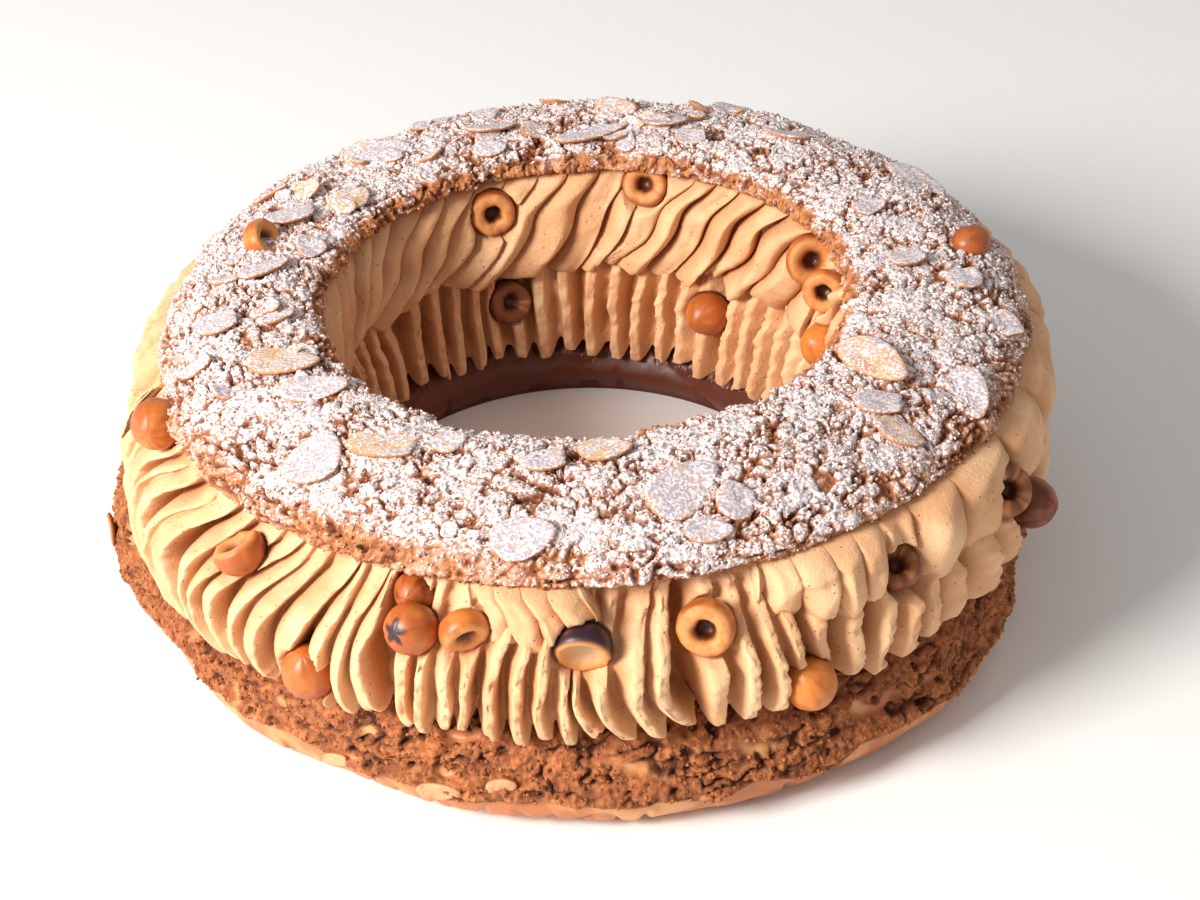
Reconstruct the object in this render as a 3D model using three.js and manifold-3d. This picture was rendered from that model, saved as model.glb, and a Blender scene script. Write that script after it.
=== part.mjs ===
// Paris brest: a ring of choux pastry split level, filled with two tiers of praline cream piped
// through a star nozzle, set with roasted hazelnuts and closed by a crackled lid with flaked almonds.
// Millimetres and +Z up. The origin is the ring's centre on the plane the base stands on.
import * as THREE from "three";
import { mergeVertices } from "three/addons/utils/BufferGeometryUtils.js";
import Module from "manifold-3d";

const wasm = await Module();
wasm.setup();

// ---- Driving dimensions -------------------------------------------------------------------

const SEED = 19;

// Half sections of the ring, as [radius, height], each a closed loop.
const BASE_SECTION = [
  [61.6, 0], [113, 0], [118.4, 4], [120.2, 11], [118.4, 16], [118.8, 20.4], [116.4, 24.4], [111, 27.4],
  [66.2, 14], [62.2, 9.8], [59.8, 4.2],
];
const LID_SECTION = [
  [110, 61.2], [110.8, 63.6], [106.8, 67.4], [98, 71.2], [85, 73.4], [74, 73.6], [67, 71.4], [65.8, 68.2],
];
const BASE_RELIEF_POINTS = [2, 6]; // first and last point of a section that the lumps move
const LID_RELIEF_POINTS = [1, 6];
const BAND_MIDDLE = 90; // radius of the middle of the ring's band
const BASE_SEGMENTS = 60;
const LID_SEGMENTS = 68;

// Neither crust is quite round: the swell of its outer radius, as [ring angle in degrees, swell].
const BASE_SWELL = [
  [0, -3.4], [50, 0.6], [90, 2.8], [130, 1.4], [170, 0.5], [185, 1.6], [196, 1], [203, -1], [209, -3.4],
  [217, -2], [227, 0], [237, -0.6], [245, 0.6], [255, 2.8], [270, 5], [285, 5.4], [300, 4], [314, 4.5],
  [322, 3], [331, 0], [340, -4.5], [360, -3.4],
];
const LID_SWELL = [
  [0, 0], [110, -0.5], [140, -2], [165, -5], [185, -5.6], [197, -4.6], [208, -1.5], [225, -0.5], [270, 0],
  [360, 0],
];
const SWELL_RADII = [85, 115]; // radii where the swell begins and is full
const BASE_SWELL_HEIGHTS = [12, 26]; // heights where the base's swell starts to fade and is gone
const CRUST_LUMP = 1; // height of the crust's lumps

// The lid and what carries it have settled a little sideways and to one side.
const SETTLE_SHIFT = 2.6;
const SETTLE_SLOPE = 0.012;
const SETTLE_HEIGHTS = [30, 60]; // heights where the settling begins and is full

// The cream's section: rows from its underside out past the tips of the outer fins, up two tiers to
// the lid, across to the hole and down the inner fins. side is 1 outside and -1 in the hole, tier
// is 0 in the lower and 1 in the upper one, along runs from 0 at a tier's tips to 1 at its top,
// depth is the valley between two fins, and hang is how far a fin's drop moves a row.
const CREAM_ROWS = [
  { side: 1, radius: 111.8, height: 28.4, tier: 0, along: 0, depth: 0, hang: 0 },
  { side: 1, radius: 119.6, height: 27.4, tier: 0, along: 0, depth: 5, hang: 1 },
  { side: 1, radius: 122.2, height: 37, tier: 0, along: 0.4, depth: 8, hang: 0.4 },
  { side: 1, radius: 119.2, height: 48, tier: 0, along: 1, depth: 7, hang: 0 },
  { side: 1, radius: 116.6, height: 53, tier: 1, along: 0.1, depth: 5, hang: 0.3 },
  { side: 1, radius: 108, height: 60.9, tier: 1, along: 1, depth: 0, hang: 0 },
  { side: -1, radius: 70, height: 67, tier: 1, along: 1, depth: 0, hang: 0 },
  { side: -1, radius: 64, height: 57, tier: 1, along: 0.6, depth: 4, hang: 0 },
  { side: -1, radius: 62.4, height: 43, tier: 1, along: 0.1, depth: 4, hang: 0.5 },
  { side: -1, radius: 64.4, height: 35, tier: 0, along: 1, depth: 3, hang: 1 },
  { side: -1, radius: 61, height: 22, tier: 0, along: 0.3, depth: 5, hang: 0.4 },
  { side: -1, radius: 60.8, height: 11.8, tier: 0, along: 0, depth: 3, hang: 1 },
  { side: -1, radius: 67.4, height: 16.2, tier: 0, along: 0, depth: 0, hang: 0 },
];
// The columns of vertices on one fin, as shares of its pitch past its crest, the last in a valley.
const OUTER_FIN_COLUMNS = [0, 0.5];
const INNER_FIN_COLUMNS = [-0.17, 0.17, 0.5];

// Strokes of the nozzle round the outside, anticlockwise in degrees. tips holds the angles of the
// first and last fin's tip, lean how far each fin's top lies past its tip, for those two, curl how
// far its middle bows, reach how far it stands out in the lower tier and upper in the upper one,
// and drop how far its tip hangs.
const OUTER_STROKES = [
  { tips: [197, 203], fins: 2, lean: [11, 11], curl: -3, reach: -4, upper: -5, drop: 0 },
  { tips: [208.5, 213], fins: 2, lean: [9, 7], curl: -2.5, reach: -0.4, upper: -4, drop: 0 },
  { tips: [217.5, 223], fins: 3, lean: [5.5, 2], curl: -1.8, reach: 1, upper: -4.5, drop: -3 },
  { tips: [226, 233], fins: 3, lean: [4, 5], curl: -0.6, reach: 0.6, upper: -5, drop: -1 },
  { tips: [236, 246.6], fins: 4, lean: [4, 0], curl: -1, reach: 0.6, upper: -4, drop: 0.6 },
  { tips: [250, 257.4], fins: 4, lean: [-2, 2], curl: -1, reach: 1.4, upper: -2, drop: -0.6 },
  { tips: [260.4, 268.4], fins: 4, lean: [1.6, 0], curl: -1.6, reach: 1.4, upper: 0.6, drop: 0.6 },
  { tips: [272, 281], fins: 4, lean: [-1.4, -1.2], curl: -1.8, reach: 2.6, upper: -4, drop: -1 },
  { tips: [284.8, 294], fins: 4, lean: [-1, -2], curl: 0.4, reach: 2.6, upper: -2, drop: -1 },
  { tips: [296.4, 300.4], fins: 2, lean: [-1.6, 0], curl: -1, reach: 1.6, upper: 1.4, drop: 0 },
  { tips: [303.4, 312.5], fins: 3, lean: [4, 1], curl: -1, reach: 2.6, upper: 1.6, drop: -0.6 },
  { tips: [317, 333], fins: 4, lean: [0, -4], curl: 0.4, reach: 1.6, upper: 2, drop: -1 },
  { tips: [338, 350], fins: 3, lean: [-2, -2], curl: 0.4, reach: -1.6, upper: 1.4, drop: 0 },
];
// Strokes that vary evenly: lean, curl and drop up to a limit, reach and upper within a span.
const OUTER_REST = {
  from: 355, to: 553.5, strokes: 16, fins: 3,
  lean: 2, curl: 1.2, reach: [-4.4, -3], upper: [-3, -1.4], drop: 1.4,
};
const INNER_STROKES = {
  from: 188, to: 548, strokes: 30, fins: 2,
  lean: 1.6, curl: 0.8, reach: [-0.5, 0.5], upper: [-0.6, 0.6], drop: 1.2,
};
const INNER_UPPER_LEAN = -14; // the upper tier's inner folds all lean one way, in degrees
const INNER_MINOR_FOLD = 1.8; // how much lower every second inner fold of the upper tier stands

// Flaked almonds on the lid: ring angle, radius, length, width, heading and tilt off the crust.
const FLAKES = [
  [172.9, 82.2, 15, 8.5, 33, -14], [187.8, 92.5, 14, 12, 20, -8], [204.4, 80.7, 18, 14, 355, -8],
  [215, 79.5, 17, 9, 8, 8], [197, 100.5, 11, 8, 40, -12], [128, 91.7, 19, 11, 13, 20],
  [143.6, 75, 11, 8, 60, 10], [153.6, 84.7, 16, 12, 20, -10], [163.3, 73.6, 8.5, 7.5, 20, 16],
  [107, 85, 15, 13, 0, -12], [99.5, 80, 9, 7, 80, 20], [88, 75, 22, 9, 24, -10],
  [74.4, 84.7, 14, 12, 0, -10], [67, 77.5, 10, 8, 10, 8], [84, 92, 12, 10, 0, 24],
  [30, 103, 20, 9, 310, 14], [2, 82, 11, 8, 20, -8], [357, 95.5, 11, 9, 60, -8],
  [328.3, 80.5, 22, 12, 305, 8], [319.2, 91, 16, 11, 5, -12], [331, 103.6, 17, 9, 282, 24],
  [229.2, 96, 18, 14, 70, -6], [237, 83.5, 22, 13, 352, -8], [245.5, 77, 9, 7, 30, 8],
  [261.6, 103, 15, 12, 10, -6], [263.3, 79.5, 14, 10, 10, -10], [272.8, 76, 13, 10, 10, -8],
  [282.8, 92.7, 21, 13, 48, 12], [289.4, 98.4, 12, 9, 75, 10], [284.4, 104.4, 11, 7, 5, -8],
  [316, 99.4, 12, 9, 340, -10], [348.5, 105.6, 11, 8, 300, 14], [52, 92, 14, 9, 160, 12],
  [115, 100, 12, 8, 20, 10], [147, 101, 13, 8, 220, 12], [66, 104, 13, 8, 20, 16],
];
const FLAKE_THICKNESS = 1.3;
const FLAKE_SIDES = 6;
const FLAKE_SUNK = 0.15; // share of the thickness below the crust

// Almond flakes baked onto the side of the base: ring angle, radius, height, length, width, heading.
const BASE_FLAKES = [
  [188.5, 120.9, 13, 11, 4.5, 90], [241.5, 120.3, 10, 9, 4, 15], [254, 120.4, 10.5, 11, 5, 10],
  [261, 119.6, 14, 8, 5, 25],
];

// Hazelnuts, 12 to 14 mm across: name, kind, ring angle, radius, height, scale, and the way that the
// pointed end or the open side looks, as its turn off the ring's outward direction and its rise.
const NUTS = [
  ["outer_left", "whole", 199, 113.8, 58.6, 1.04, 20, 50],
  ["outer_cup_left", "cup", 228.4, 114.6, 55, 0.98, 50, 55],
  ["outer_low_left", "whole", 239.6, 119.2, 35, 1.02, 10, 60],
  ["outer_behind", "whole", 248.8, 107.5, 54, 0.76, 0, 20],
  ["outer_shiny", "whole", 251, 117.8, 51, 0.98, -10, -10],
  ["outer_cup_front", "cup", 256.6, 117.4, 52.2, 0.9, 25, 5],
  ["outer_split_front", "cup", 269.6, 116.6, 49.6, 1.06, -4, -28],
  ["outer_ring_front", "ring", 283.2, 115.8, 50.6, 1.04, -14, 18],
  ["outer_low_right", "whole", 295, 119.4, 33.6, 0.98, -30, 30],
  ["outer_dark_right", "cup", 307.2, 112.6, 52.6, 0.9, -20, 0],
  ["outer_ring_right", "ring", 327, 114.6, 52.4, 0.98, -30, 20],
  ["outer_right", "whole", 334.2, 118.8, 38, 0.98, -10, 10],
  ["outer_back_left", "whole", 132, 117.6, 44, 0.98, 0, 30],
  ["outer_back", "cup", 92, 117, 50, 0.98, 0, 10],
  ["outer_back_right", "whole", 48, 118.4, 38, 1, 0, 0],
  ["inner_ring_left", "ring", 111.6, 67.6, 58.4, 0.96, 176, 20],
  ["inner_cup_back", "cup", 75, 68.4, 63, 0.9, 186, 10],
  ["inner_cup_right", "cup", 24, 70, 59.6, 0.98, 220, 20],
  ["inner_ring_right", "ring", 11.5, 66.4, 58.6, 0.9, 225, 20],
  ["inner_whole_back", "whole", 55.4, 64.6, 28.6, 0.98, 180, 10],
  ["inner_right", "whole", 8, 64.6, 46, 0.96, 210, 40],
  ["inner_dark_left", "cup", 106.6, 65.4, 29, 0.94, 182, 0],
  ["lid_left", "cup", 162.6, 86.6, 74, 0.88, 176, 34],
  ["lid_right", "whole", 7.8, 100, 69.4, 0.74, 0, 30],
].map(([name, kind, angle, radius, height, scale, turn, rise]) => (
  { name, kind, angle, radius, height, scale, turn, rise }
));

// Hazelnut half sections, as [radius, height], from the closed end to the face.
const NUT_SECTIONS = {
  whole: [[0, -6.2], [3.4, -5.3], [5.9, -2.2], [6.1, 1.4], [4.2, 4.8], [1.6, 6.5], [0, 7]],
  cup: [[0, -5.6], [3.6, -4.9], [6, -2.2], [6.3, 0.8], [5.6, 2.2], [4, 2], [2.8, -0.8], [0, -1.8]],
  ring: [[0, -5.6], [3.6, -4.9], [6, -2.2], [6.2, 1.2], [5.2, 2.8], [2.6, 2.8], [1.8, -0.8], [0, -1.4]],
};
const POCKET_SECTION = [[0, -7], [5.6, -5.4], [7.3, 1.4], [5, 6.4], [0, 7.9]];
const NUT_SIDES = 8;

// ---- Materials ----------------------------------------------------------------------------

const finish = (color, roughness) => new THREE.MeshStandardMaterial({ color, roughness, metalness: 0 });
const BASE_FINISH = finish("#b9743f", 0.6);
const CREAM_FINISH = finish("#e6c391", 0.55);
const LID_FINISH = finish("#d9b48f", 0.85);
const NUT_FINISH = finish("#b8692f", 0.4);

// ---- Small helpers ------------------------------------------------------------------------

const radians = THREE.MathUtils.degToRad;

// A seeded stream of numbers from 0 to 1.
function randomStream(seed) {
  let state = seed;
  return () => {
    state = (Math.imul(state, 1664525) + 1013904223) >>> 0;
    return state / 2 ** 32;
  };
}

// A smooth bumpy function of the ring angle and a second coordinate, between -1 and 1.
function lumps(seed) {
  const random = randomStream(seed);
  const waves = Array.from({ length: 6 }, (_, index) => ({
    round: 5 + index * 4,
    across: 0.5 + random() * 1.5,
    phase: random() * Math.PI * 2,
  }));
  return (angle, across) => {
    const heights = waves.map((wave) => Math.sin(wave.round * angle + wave.across * across + wave.phase));
    return heights.reduce((total, height) => total + height, 0) / waves.length;
  };
}

// How far a value has come from one end of a span to the other, from 0 to 1.
const progress = (value, [from, to]) => THREE.MathUtils.clamp((value - from) / (to - from), 0, 1);

// The swell at a ring angle, read between the entries of a table.
function swellAt(table, angle) {
  const degrees = THREE.MathUtils.euclideanModulo(THREE.MathUtils.radToDeg(angle), 360);
  const index = table.findIndex(([entry], row) => row > 0 && degrees <= entry);
  const [[from, before], [to, after]] = [table[index - 1], table[index]];
  return THREE.MathUtils.lerp(before, after, progress(degrees, [from, to]));
}

// The point at a ring angle, radius and height, moved by the swell of the outside and by how far
// the filling and the lid have settled.
function placed(angle, radius, height) {
  const settled = progress(height, SETTLE_HEIGHTS);
  const low = 1 - progress(height, BASE_SWELL_HEIGHTS);
  const swell = low * swellAt(BASE_SWELL, angle) + settled * swellAt(LID_SWELL, angle);
  const swollen = radius + swell * progress(radius, SWELL_RADII);
  const x = swollen * Math.cos(angle);
  return [x + SETTLE_SHIFT * settled, swollen * Math.sin(angle), height + SETTLE_SLOPE * x * settled];
}

// A closed ring turned from a half section, with each vertex then placed by place(column, row).
function turnedRing(section, segments, place) {
  const loop = [...section, section[0]].map(([radius, height]) => new THREE.Vector2(radius, height));
  const geometry = new THREE.LatheGeometry(loop, segments);
  const position = geometry.attributes.position;
  for (let index = 0; index < position.count; index += 1) {
    const column = Math.floor(index / loop.length) % segments;
    const row = (index % loop.length) % section.length;
    position.setXYZ(index, ...place(column, row));
  }
  return geometry;
}

function toSolid(geometry) {
  geometry.deleteAttribute("normal");
  geometry.deleteAttribute("uv");
  const merged = mergeVertices(geometry, 1e-4);
  const mesh = new wasm.Mesh({
    numProp: 3,
    vertProperties: new Float32Array(merged.attributes.position.array),
    triVerts: new Uint32Array(merged.index.array),
  });
  return new wasm.Manifold(mesh);
}

function toMesh(name, solid, material) {
  const { vertProperties, triVerts } = solid.getMesh();
  const geometry = new THREE.BufferGeometry();
  geometry.setAttribute("position", new THREE.BufferAttribute(vertProperties, 3));
  geometry.setIndex(new THREE.BufferAttribute(triVerts, 1));
  const mesh = new THREE.Mesh(geometry, material);
  mesh.name = name;
  return mesh;
}

// Height and slope of the lid's upper side at a radius.
function lidTop(radius) {
  const index = LID_SECTION.findIndex(([inner], row) => row > 1 && radius >= inner);
  const [outer, inner] = [LID_SECTION[index - 1], LID_SECTION[index]];
  const slope = (inner[1] - outer[1]) / (inner[0] - outer[0]);
  return { height: outer[1] + slope * (radius - outer[0]), slope };
}

// ---- Crusts -------------------------------------------------------------------------------

// A crust ring: the points of its section from relief[0] to relief[1] are moved by the lumps, by
// shares[0] outward from the middle of the ring's band and by shares[1] upward.
function crustRing(section, segments, relief, shares, seed) {
  const lump = lumps(seed);
  return turnedRing(section, segments, (column, row) => {
    const angle = (column / segments) * Math.PI * 2;
    const [radius, height] = section[row];
    const moved = row >= relief[0] && row <= relief[1] ? CRUST_LUMP * lump(angle, row) : 0;
    const outward = Math.sign(radius - BAND_MIDDLE) * moved * shares[0];
    return placed(angle, radius + outward, height + moved * shares[1]);
  });
}

// A flat almond flake, lying in its own XY plane with its length along X.
function flake(length, width) {
  const geometry = new THREE.CylinderGeometry(0.5, 0.46, FLAKE_THICKNESS, FLAKE_SIDES);
  geometry.rotateX(Math.PI / 2);
  geometry.scale(length, width, 1);
  return geometry;
}

function baseCrust() {
  const flakes = BASE_FLAKES.map(([degrees, radius, height, length, width, heading]) => {
    const angle = radians(degrees);
    const geometry = flake(length, width);
    geometry.rotateZ(radians(heading));
    geometry.rotateX(Math.PI / 2);
    geometry.rotateZ(angle + Math.PI / 2);
    geometry.translate(...placed(angle, radius, height));
    return toSolid(geometry);
  });
  const ring = crustRing(BASE_SECTION, BASE_SEGMENTS, BASE_RELIEF_POINTS, [1, 0], SEED);
  return flakes.reduce((solid, piece) => solid.add(piece), toSolid(ring));
}

function lidCrust() {
  const ring = crustRing(LID_SECTION, LID_SEGMENTS, LID_RELIEF_POINTS, [0.6, 0.7], SEED + 1);
  const flakes = FLAKES.map(([degrees, radius, length, width, heading, tilt]) => {
    const angle = radians(degrees);
    const { height, slope } = lidTop(radius);
    const geometry = flake(length, width);
    geometry.translate(0, 0, FLAKE_THICKNESS * (0.5 - FLAKE_SUNK));
    geometry.rotateX(radians(tilt));
    geometry.rotateZ(radians(heading) - angle);
    geometry.rotateY(-Math.atan(slope));
    geometry.rotateZ(angle);
    geometry.translate(...placed(angle, radius, height));
    return toSolid(geometry);
  });
  return flakes.reduce((solid, piece) => solid.add(piece), toSolid(ring));
}

// ---- Praline cream ------------------------------------------------------------------------

// The fins of a list of strokes: the middle fins of a stroke stand out furthest.
function finsOf(strokes) {
  return strokes.flatMap(({ tips, fins, lean, reach, ...rest }) => (
    Array.from({ length: fins }, (_, index) => {
      const share = index / (fins - 1);
      const middle = 1 - Math.abs(2 * share - 1);
      const tip = THREE.MathUtils.lerp(tips[0], tips[1], share);
      return { ...rest, tip, lean: THREE.MathUtils.lerp(lean[0], lean[1], share), reach: reach + middle };
    })
  ));
}

// Strokes that fill a stretch of the ring evenly, each a little different from the next.
function evenStrokes({ from, to, strokes, fins, lean, curl, reach, upper, drop }, seed) {
  const random = randomStream(seed);
  const vary = (amount) => amount * (2 * random() - 1);
  const pitch = (to - from) / strokes;
  return Array.from({ length: strokes }, (_, index) => {
    const start = from + pitch * index + vary(0.05 * pitch);
    const shared = vary(lean);
    return {
      tips: [start, start + pitch * (1 - 0.9 / fins)],
      fins,
      lean: [shared + lean * 0.4, shared - lean * 0.4],
      curl: vary(curl),
      reach: THREE.MathUtils.lerp(reach[0], reach[1], random()),
      upper: THREE.MathUtils.lerp(upper[0], upper[1], random()),
      drop: vary(drop),
    };
  });
}

// Where a fin's crest lies in one row of the section.
function crestAt(fins, index, { side, tier, along }) {
  const fin = fins[index % fins.length];
  const turn = index === fins.length ? 360 : 0;
  const lower = tier === 0 ? along : 1;
  const upper = tier === 0 ? 0 : along;
  const commonLean = side < 0 ? INNER_UPPER_LEAN * upper : 0;
  const minor = side < 0 && index % 2 === 1 ? INNER_MINOR_FOLD : 0;
  return {
    angle: fin.tip + turn + fin.lean * lower + fin.curl * 4 * lower * (1 - lower) + commonLean,
    reach: tier === 0 ? fin.reach : fin.upper - minor,
    drop: fin.drop,
  };
}

function pralineCream() {
  const outerFins = finsOf([...OUTER_STROKES, ...evenStrokes(OUTER_REST, SEED + 2)]);
  const innerFins = finsOf(evenStrokes(INNER_STROKES, SEED + 4));
  const segments = outerFins.length * OUTER_FIN_COLUMNS.length;
  const section = CREAM_ROWS.map(({ radius, height }) => [radius, height]);
  return toSolid(turnedRing(section, segments, (column, row) => {
    const { side, radius, height, depth, hang } = CREAM_ROWS[row];
    const fins = side > 0 ? outerFins : innerFins;
    const columns = side > 0 ? OUTER_FIN_COLUMNS : INNER_FIN_COLUMNS;
    const index = Math.floor(column / columns.length);
    const share = columns[column % columns.length];
    const here = crestAt(fins, index, CREAM_ROWS[row]);
    const next = crestAt(fins, index + 1, CREAM_ROWS[row]);
    const valley = column % columns.length === columns.length - 1;
    const reach = valley ? Math.min(here.reach, next.reach) - depth : here.reach;
    const lift = valley ? hang * depth * 0.3 : -hang * here.drop;
    const angle = here.angle + share * (next.angle - here.angle);
    return placed(radians(angle), radius + (depth > 0 ? reach * side : 0), height + lift);
  }));
}

// ---- Hazelnuts ----------------------------------------------------------------------------

// Turns a half section into a solid and sets it in the ring, its face looking the nut's way.
function placedNut(section, { angle, radius, height, scale, turn, rise }) {
  const points = section.map(([r, h]) => new THREE.Vector2(r, h));
  const geometry = new THREE.LatheGeometry(points, NUT_SIDES);
  geometry.rotateX(Math.PI / 2);
  geometry.scale(scale, scale, scale);
  geometry.rotateY(radians(90 - rise));
  geometry.rotateZ(radians(angle + turn));
  geometry.translate(...placed(radians(angle), radius, height));
  return toSolid(geometry);
}

// ---- Assembly -----------------------------------------------------------------------------

const pockets = NUTS.map((nut) => placedNut(POCKET_SECTION, nut));

// Cuts the nuts' pockets, and leaves out any sliver that a pocket cuts free.
function carve(solid) {
  const bodies = pockets.reduce((rest, pocket) => rest.subtract(pocket), solid).decompose();
  return bodies.reduce((largest, body) => (body.volume() > largest.volume() ? body : largest));
}

const group = new THREE.Group();
group.add(toMesh("base_crust", carve(baseCrust()), BASE_FINISH));
group.add(toMesh("praline_cream", carve(pralineCream()), CREAM_FINISH));
group.add(toMesh("lid_crust", carve(lidCrust()), LID_FINISH));
for (const nut of NUTS) {
  group.add(toMesh(`hazelnut_${nut.name}`, placedNut(NUT_SECTIONS[nut.kind], nut), NUT_FINISH));
}

export default group;
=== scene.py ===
"""Looks of a paris brest: a ring of choux, praline cream, hazelnuts and a lid with flaked almonds.

Lengths are in millimetres until a mesh is made, angles are in degrees anticlockwise from +X, and the
ring stands on z = 0 about the origin.
"""

import logging
import math
from dataclasses import dataclass
from dataclasses import field
from enum import Enum
from typing import Protocol

import bmesh
import bpy
import numpy as np
from mathutils import Matrix
from mathutils import Vector

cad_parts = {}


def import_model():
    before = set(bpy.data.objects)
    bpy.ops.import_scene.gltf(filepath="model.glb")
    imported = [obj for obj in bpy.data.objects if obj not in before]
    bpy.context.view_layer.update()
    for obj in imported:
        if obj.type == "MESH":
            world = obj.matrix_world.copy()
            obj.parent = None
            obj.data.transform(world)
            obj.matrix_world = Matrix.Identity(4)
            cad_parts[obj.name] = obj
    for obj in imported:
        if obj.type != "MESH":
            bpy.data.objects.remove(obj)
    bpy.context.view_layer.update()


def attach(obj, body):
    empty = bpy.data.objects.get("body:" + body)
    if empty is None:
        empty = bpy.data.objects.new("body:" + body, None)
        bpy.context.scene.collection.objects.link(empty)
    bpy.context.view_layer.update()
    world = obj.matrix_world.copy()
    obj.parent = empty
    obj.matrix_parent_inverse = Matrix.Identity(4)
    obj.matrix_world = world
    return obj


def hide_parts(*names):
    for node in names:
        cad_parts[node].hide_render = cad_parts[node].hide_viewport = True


LOG = logging.getLogger("paris_brest")
MM = 0.001
SEED = 19
Array = np.ndarray
Socket = bpy.types.NodeSocket


# ---- Numbers ------------------------------------------------------------------------------


def hashed(cells: Array, seed: int) -> Array:
    """Random whole numbers of 32 bits, one for each cell of a grid.

    Args:
        cells: whole numbers, with x, y and z in the last axis.
        seed: another seed gives other numbers.

    Returns:
        The numbers, without the last axis.
    """
    x, y, z = cells[..., 0], cells[..., 1], cells[..., 2]
    mixed = (x * 374761393 + y * 668265263 + z * 2147483647 + seed * 974634777) & 0xFFFFFFFF
    mixed = ((mixed ^ (mixed >> 13)) * 1274126177) & 0xFFFFFFFF
    mixed = ((mixed ^ (mixed >> 16)) * 668265263) & 0xFFFFFFFF
    return mixed ^ (mixed >> 15)


def smooth_noise(points: Array, seed: int = 0) -> Array:
    """Gradient noise, about one bump per unit of length.

    Args:
        points: places, with x, y and z in the last axis.
        seed: another seed gives another pattern.

    Returns:
        Heights between about -1 and 1.
    """
    base = np.floor(points)
    offset = points - base
    base = base.astype(np.int64)
    ease = offset * offset * offset * (offset * (offset * 6 - 15) + 10)
    total = np.zeros(points.shape[:-1])
    for corner in np.ndindex(2, 2, 2):
        step = np.array(corner)
        number = hashed(base + step, seed)
        slopes = [((number >> shift) & 1023) / 511.5 - 1 for shift in (0, 10, 20)]
        height = sum(slope * (offset[..., axis] - step[axis]) for axis, slope in enumerate(slopes))
        share = np.prod(np.where(step == 1, ease, 1 - ease), axis=-1)
        total += height * share
    return total * 1.25


def rough_noise(points: Array, octaves: int, seed: int = 0) -> Array:
    """Gradient noise with finer and finer bumps on it.

    Args:
        points: places, with x, y and z in the last axis.
        octaves: how many sizes of bump there are, each half as large as the one before.
        seed: another seed gives another pattern.

    Returns:
        Heights between about -1 and 1.
    """
    total = np.zeros(points.shape[:-1])
    for octave in range(octaves):
        total += smooth_noise(points * 2**octave, seed + 31 * octave) * 0.5**octave
    return total / (2 - 0.5 ** (octaves - 1))


def noise_over(seed: int, *axes: Array, octaves: int = 1) -> Array:
    """Gradient noise over three quantities, each in units of one bump."""
    return rough_noise(np.stack(np.broadcast_arrays(*axes), axis=-1), octaves, seed)


def grain_cells(points: Array, seed: int = 0) -> tuple[Array, Array, Array]:
    """Grains packed like crumbs, about one per unit of length.

    Args:
        points: places, with x, y and z in the last axis.
        seed: another seed gives another packing.

    Returns:
        The distance to the nearest grain's middle, to the second nearest one, and a random number
        from 0 to 1 for the nearest grain.
    """
    base = np.floor(points).astype(np.int64)
    nearest = np.full(points.shape[:-1], 9.0)
    second = nearest.copy()
    chance = np.zeros_like(nearest)
    for corner in np.ndindex(3, 3, 3):
        cell = base + np.array(corner) - 1
        number = hashed(cell, seed)
        jitter = np.stack([((number >> shift) & 1023) / 1023 for shift in (0, 10, 20)], axis=-1)
        distance = np.linalg.norm(cell + jitter - points, axis=-1)
        closer = distance < nearest
        second = np.where(closer, nearest, np.minimum(second, distance))
        chance = np.where(closer, ((number >> 5) & 1023) / 1023, chance)
        nearest = np.where(closer, distance, nearest)
    return nearest, second, chance


def crumb_heights(points: Array, size: float, seed: int, reach: float, least: float = 1.0) -> Array:
    """Heights of round crumbs packed on a crust.

    Args:
        points: places, with x, y and z in the last axis.
        size: the crumbs' distance from each other.
        seed: another seed gives another packing.
        reach: the crumbs' radius, in sizes.
        least: the lowest crumb's height.

    Returns:
        Heights from 0 between the crumbs to 1 at the middle of the highest ones.
    """
    near, _, chance = grain_cells(points / size, seed)
    return np.sqrt(np.clip(1 - (near / reach) ** 2, 0, 1)) * (least + (1 - least) * chance)


def ramp(values: Array, start: float, end: float) -> Array:
    """Smooth steps from 0 at start to 1 at end."""
    share = np.clip((values - start) / (end - start), 0, 1)
    return share * share * (3 - 2 * share)


def blend(start: Array, end: Array, share: Array) -> Array:
    """Values a share of the way from start to end."""
    return start + (end - start) * share


def through(knots: Array, values: Array, at: Array) -> Array:
    """Values on a smooth curve through knots.

    Args:
        knots: rising places of the known values.
        values: one row of known values for each knot.
        at: the places to read.

    Returns:
        One row of values for each place.
    """
    slopes = np.gradient(values, knots, axis=0)
    index = np.clip(np.searchsorted(knots, at, side="right") - 1, 0, len(knots) - 2)
    step = (knots[index + 1] - knots[index])[:, None]
    share = (at - knots[index])[:, None] / step
    rest = 1 - share
    start = (1 + 2 * share) * rest**2 * values[index] + share * rest**2 * step * slopes[index]
    end = share**2 * (3 - 2 * share) * values[index + 1] - share**2 * rest * step * slopes[index + 1]
    return start + end


class Dice:
    """A seeded stream of numbers from 0 to 1."""

    def __init__(self, seed: int) -> None:
        """Starts the stream at a seed."""
        self.state = seed

    def roll(self) -> float:
        """The next number."""
        self.state = (self.state * 1664525 + 1013904223) % 2**32
        return self.state / 2**32

    def vary(self, amount: float) -> float:
        """A number between minus and plus an amount."""
        return amount * (2 * self.roll() - 1)


# ---- Shape of the ring --------------------------------------------------------------------

BASE_SWELL = (
    (0, -3.4), (50, 0.6), (90, 2.8), (130, 1.4), (170, 0.5), (185, 1.6), (196, 1), (203, -1), (209, -3.4),
    (217, -2), (227, 0), (237, -0.6), (245, 0.6), (255, 2.8), (270, 5), (285, 5.4), (300, 4), (314, 4.5),
    (322, 3), (331, 0), (340, -4.5), (360, -3.4),
)
LID_SWELL = (
    (0, 0), (110, -0.5), (140, -2), (165, -5), (185, -5.6), (197, -4.6), (208, -1.5), (225, -0.5),
    (270, 0), (360, 0),
)


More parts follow.
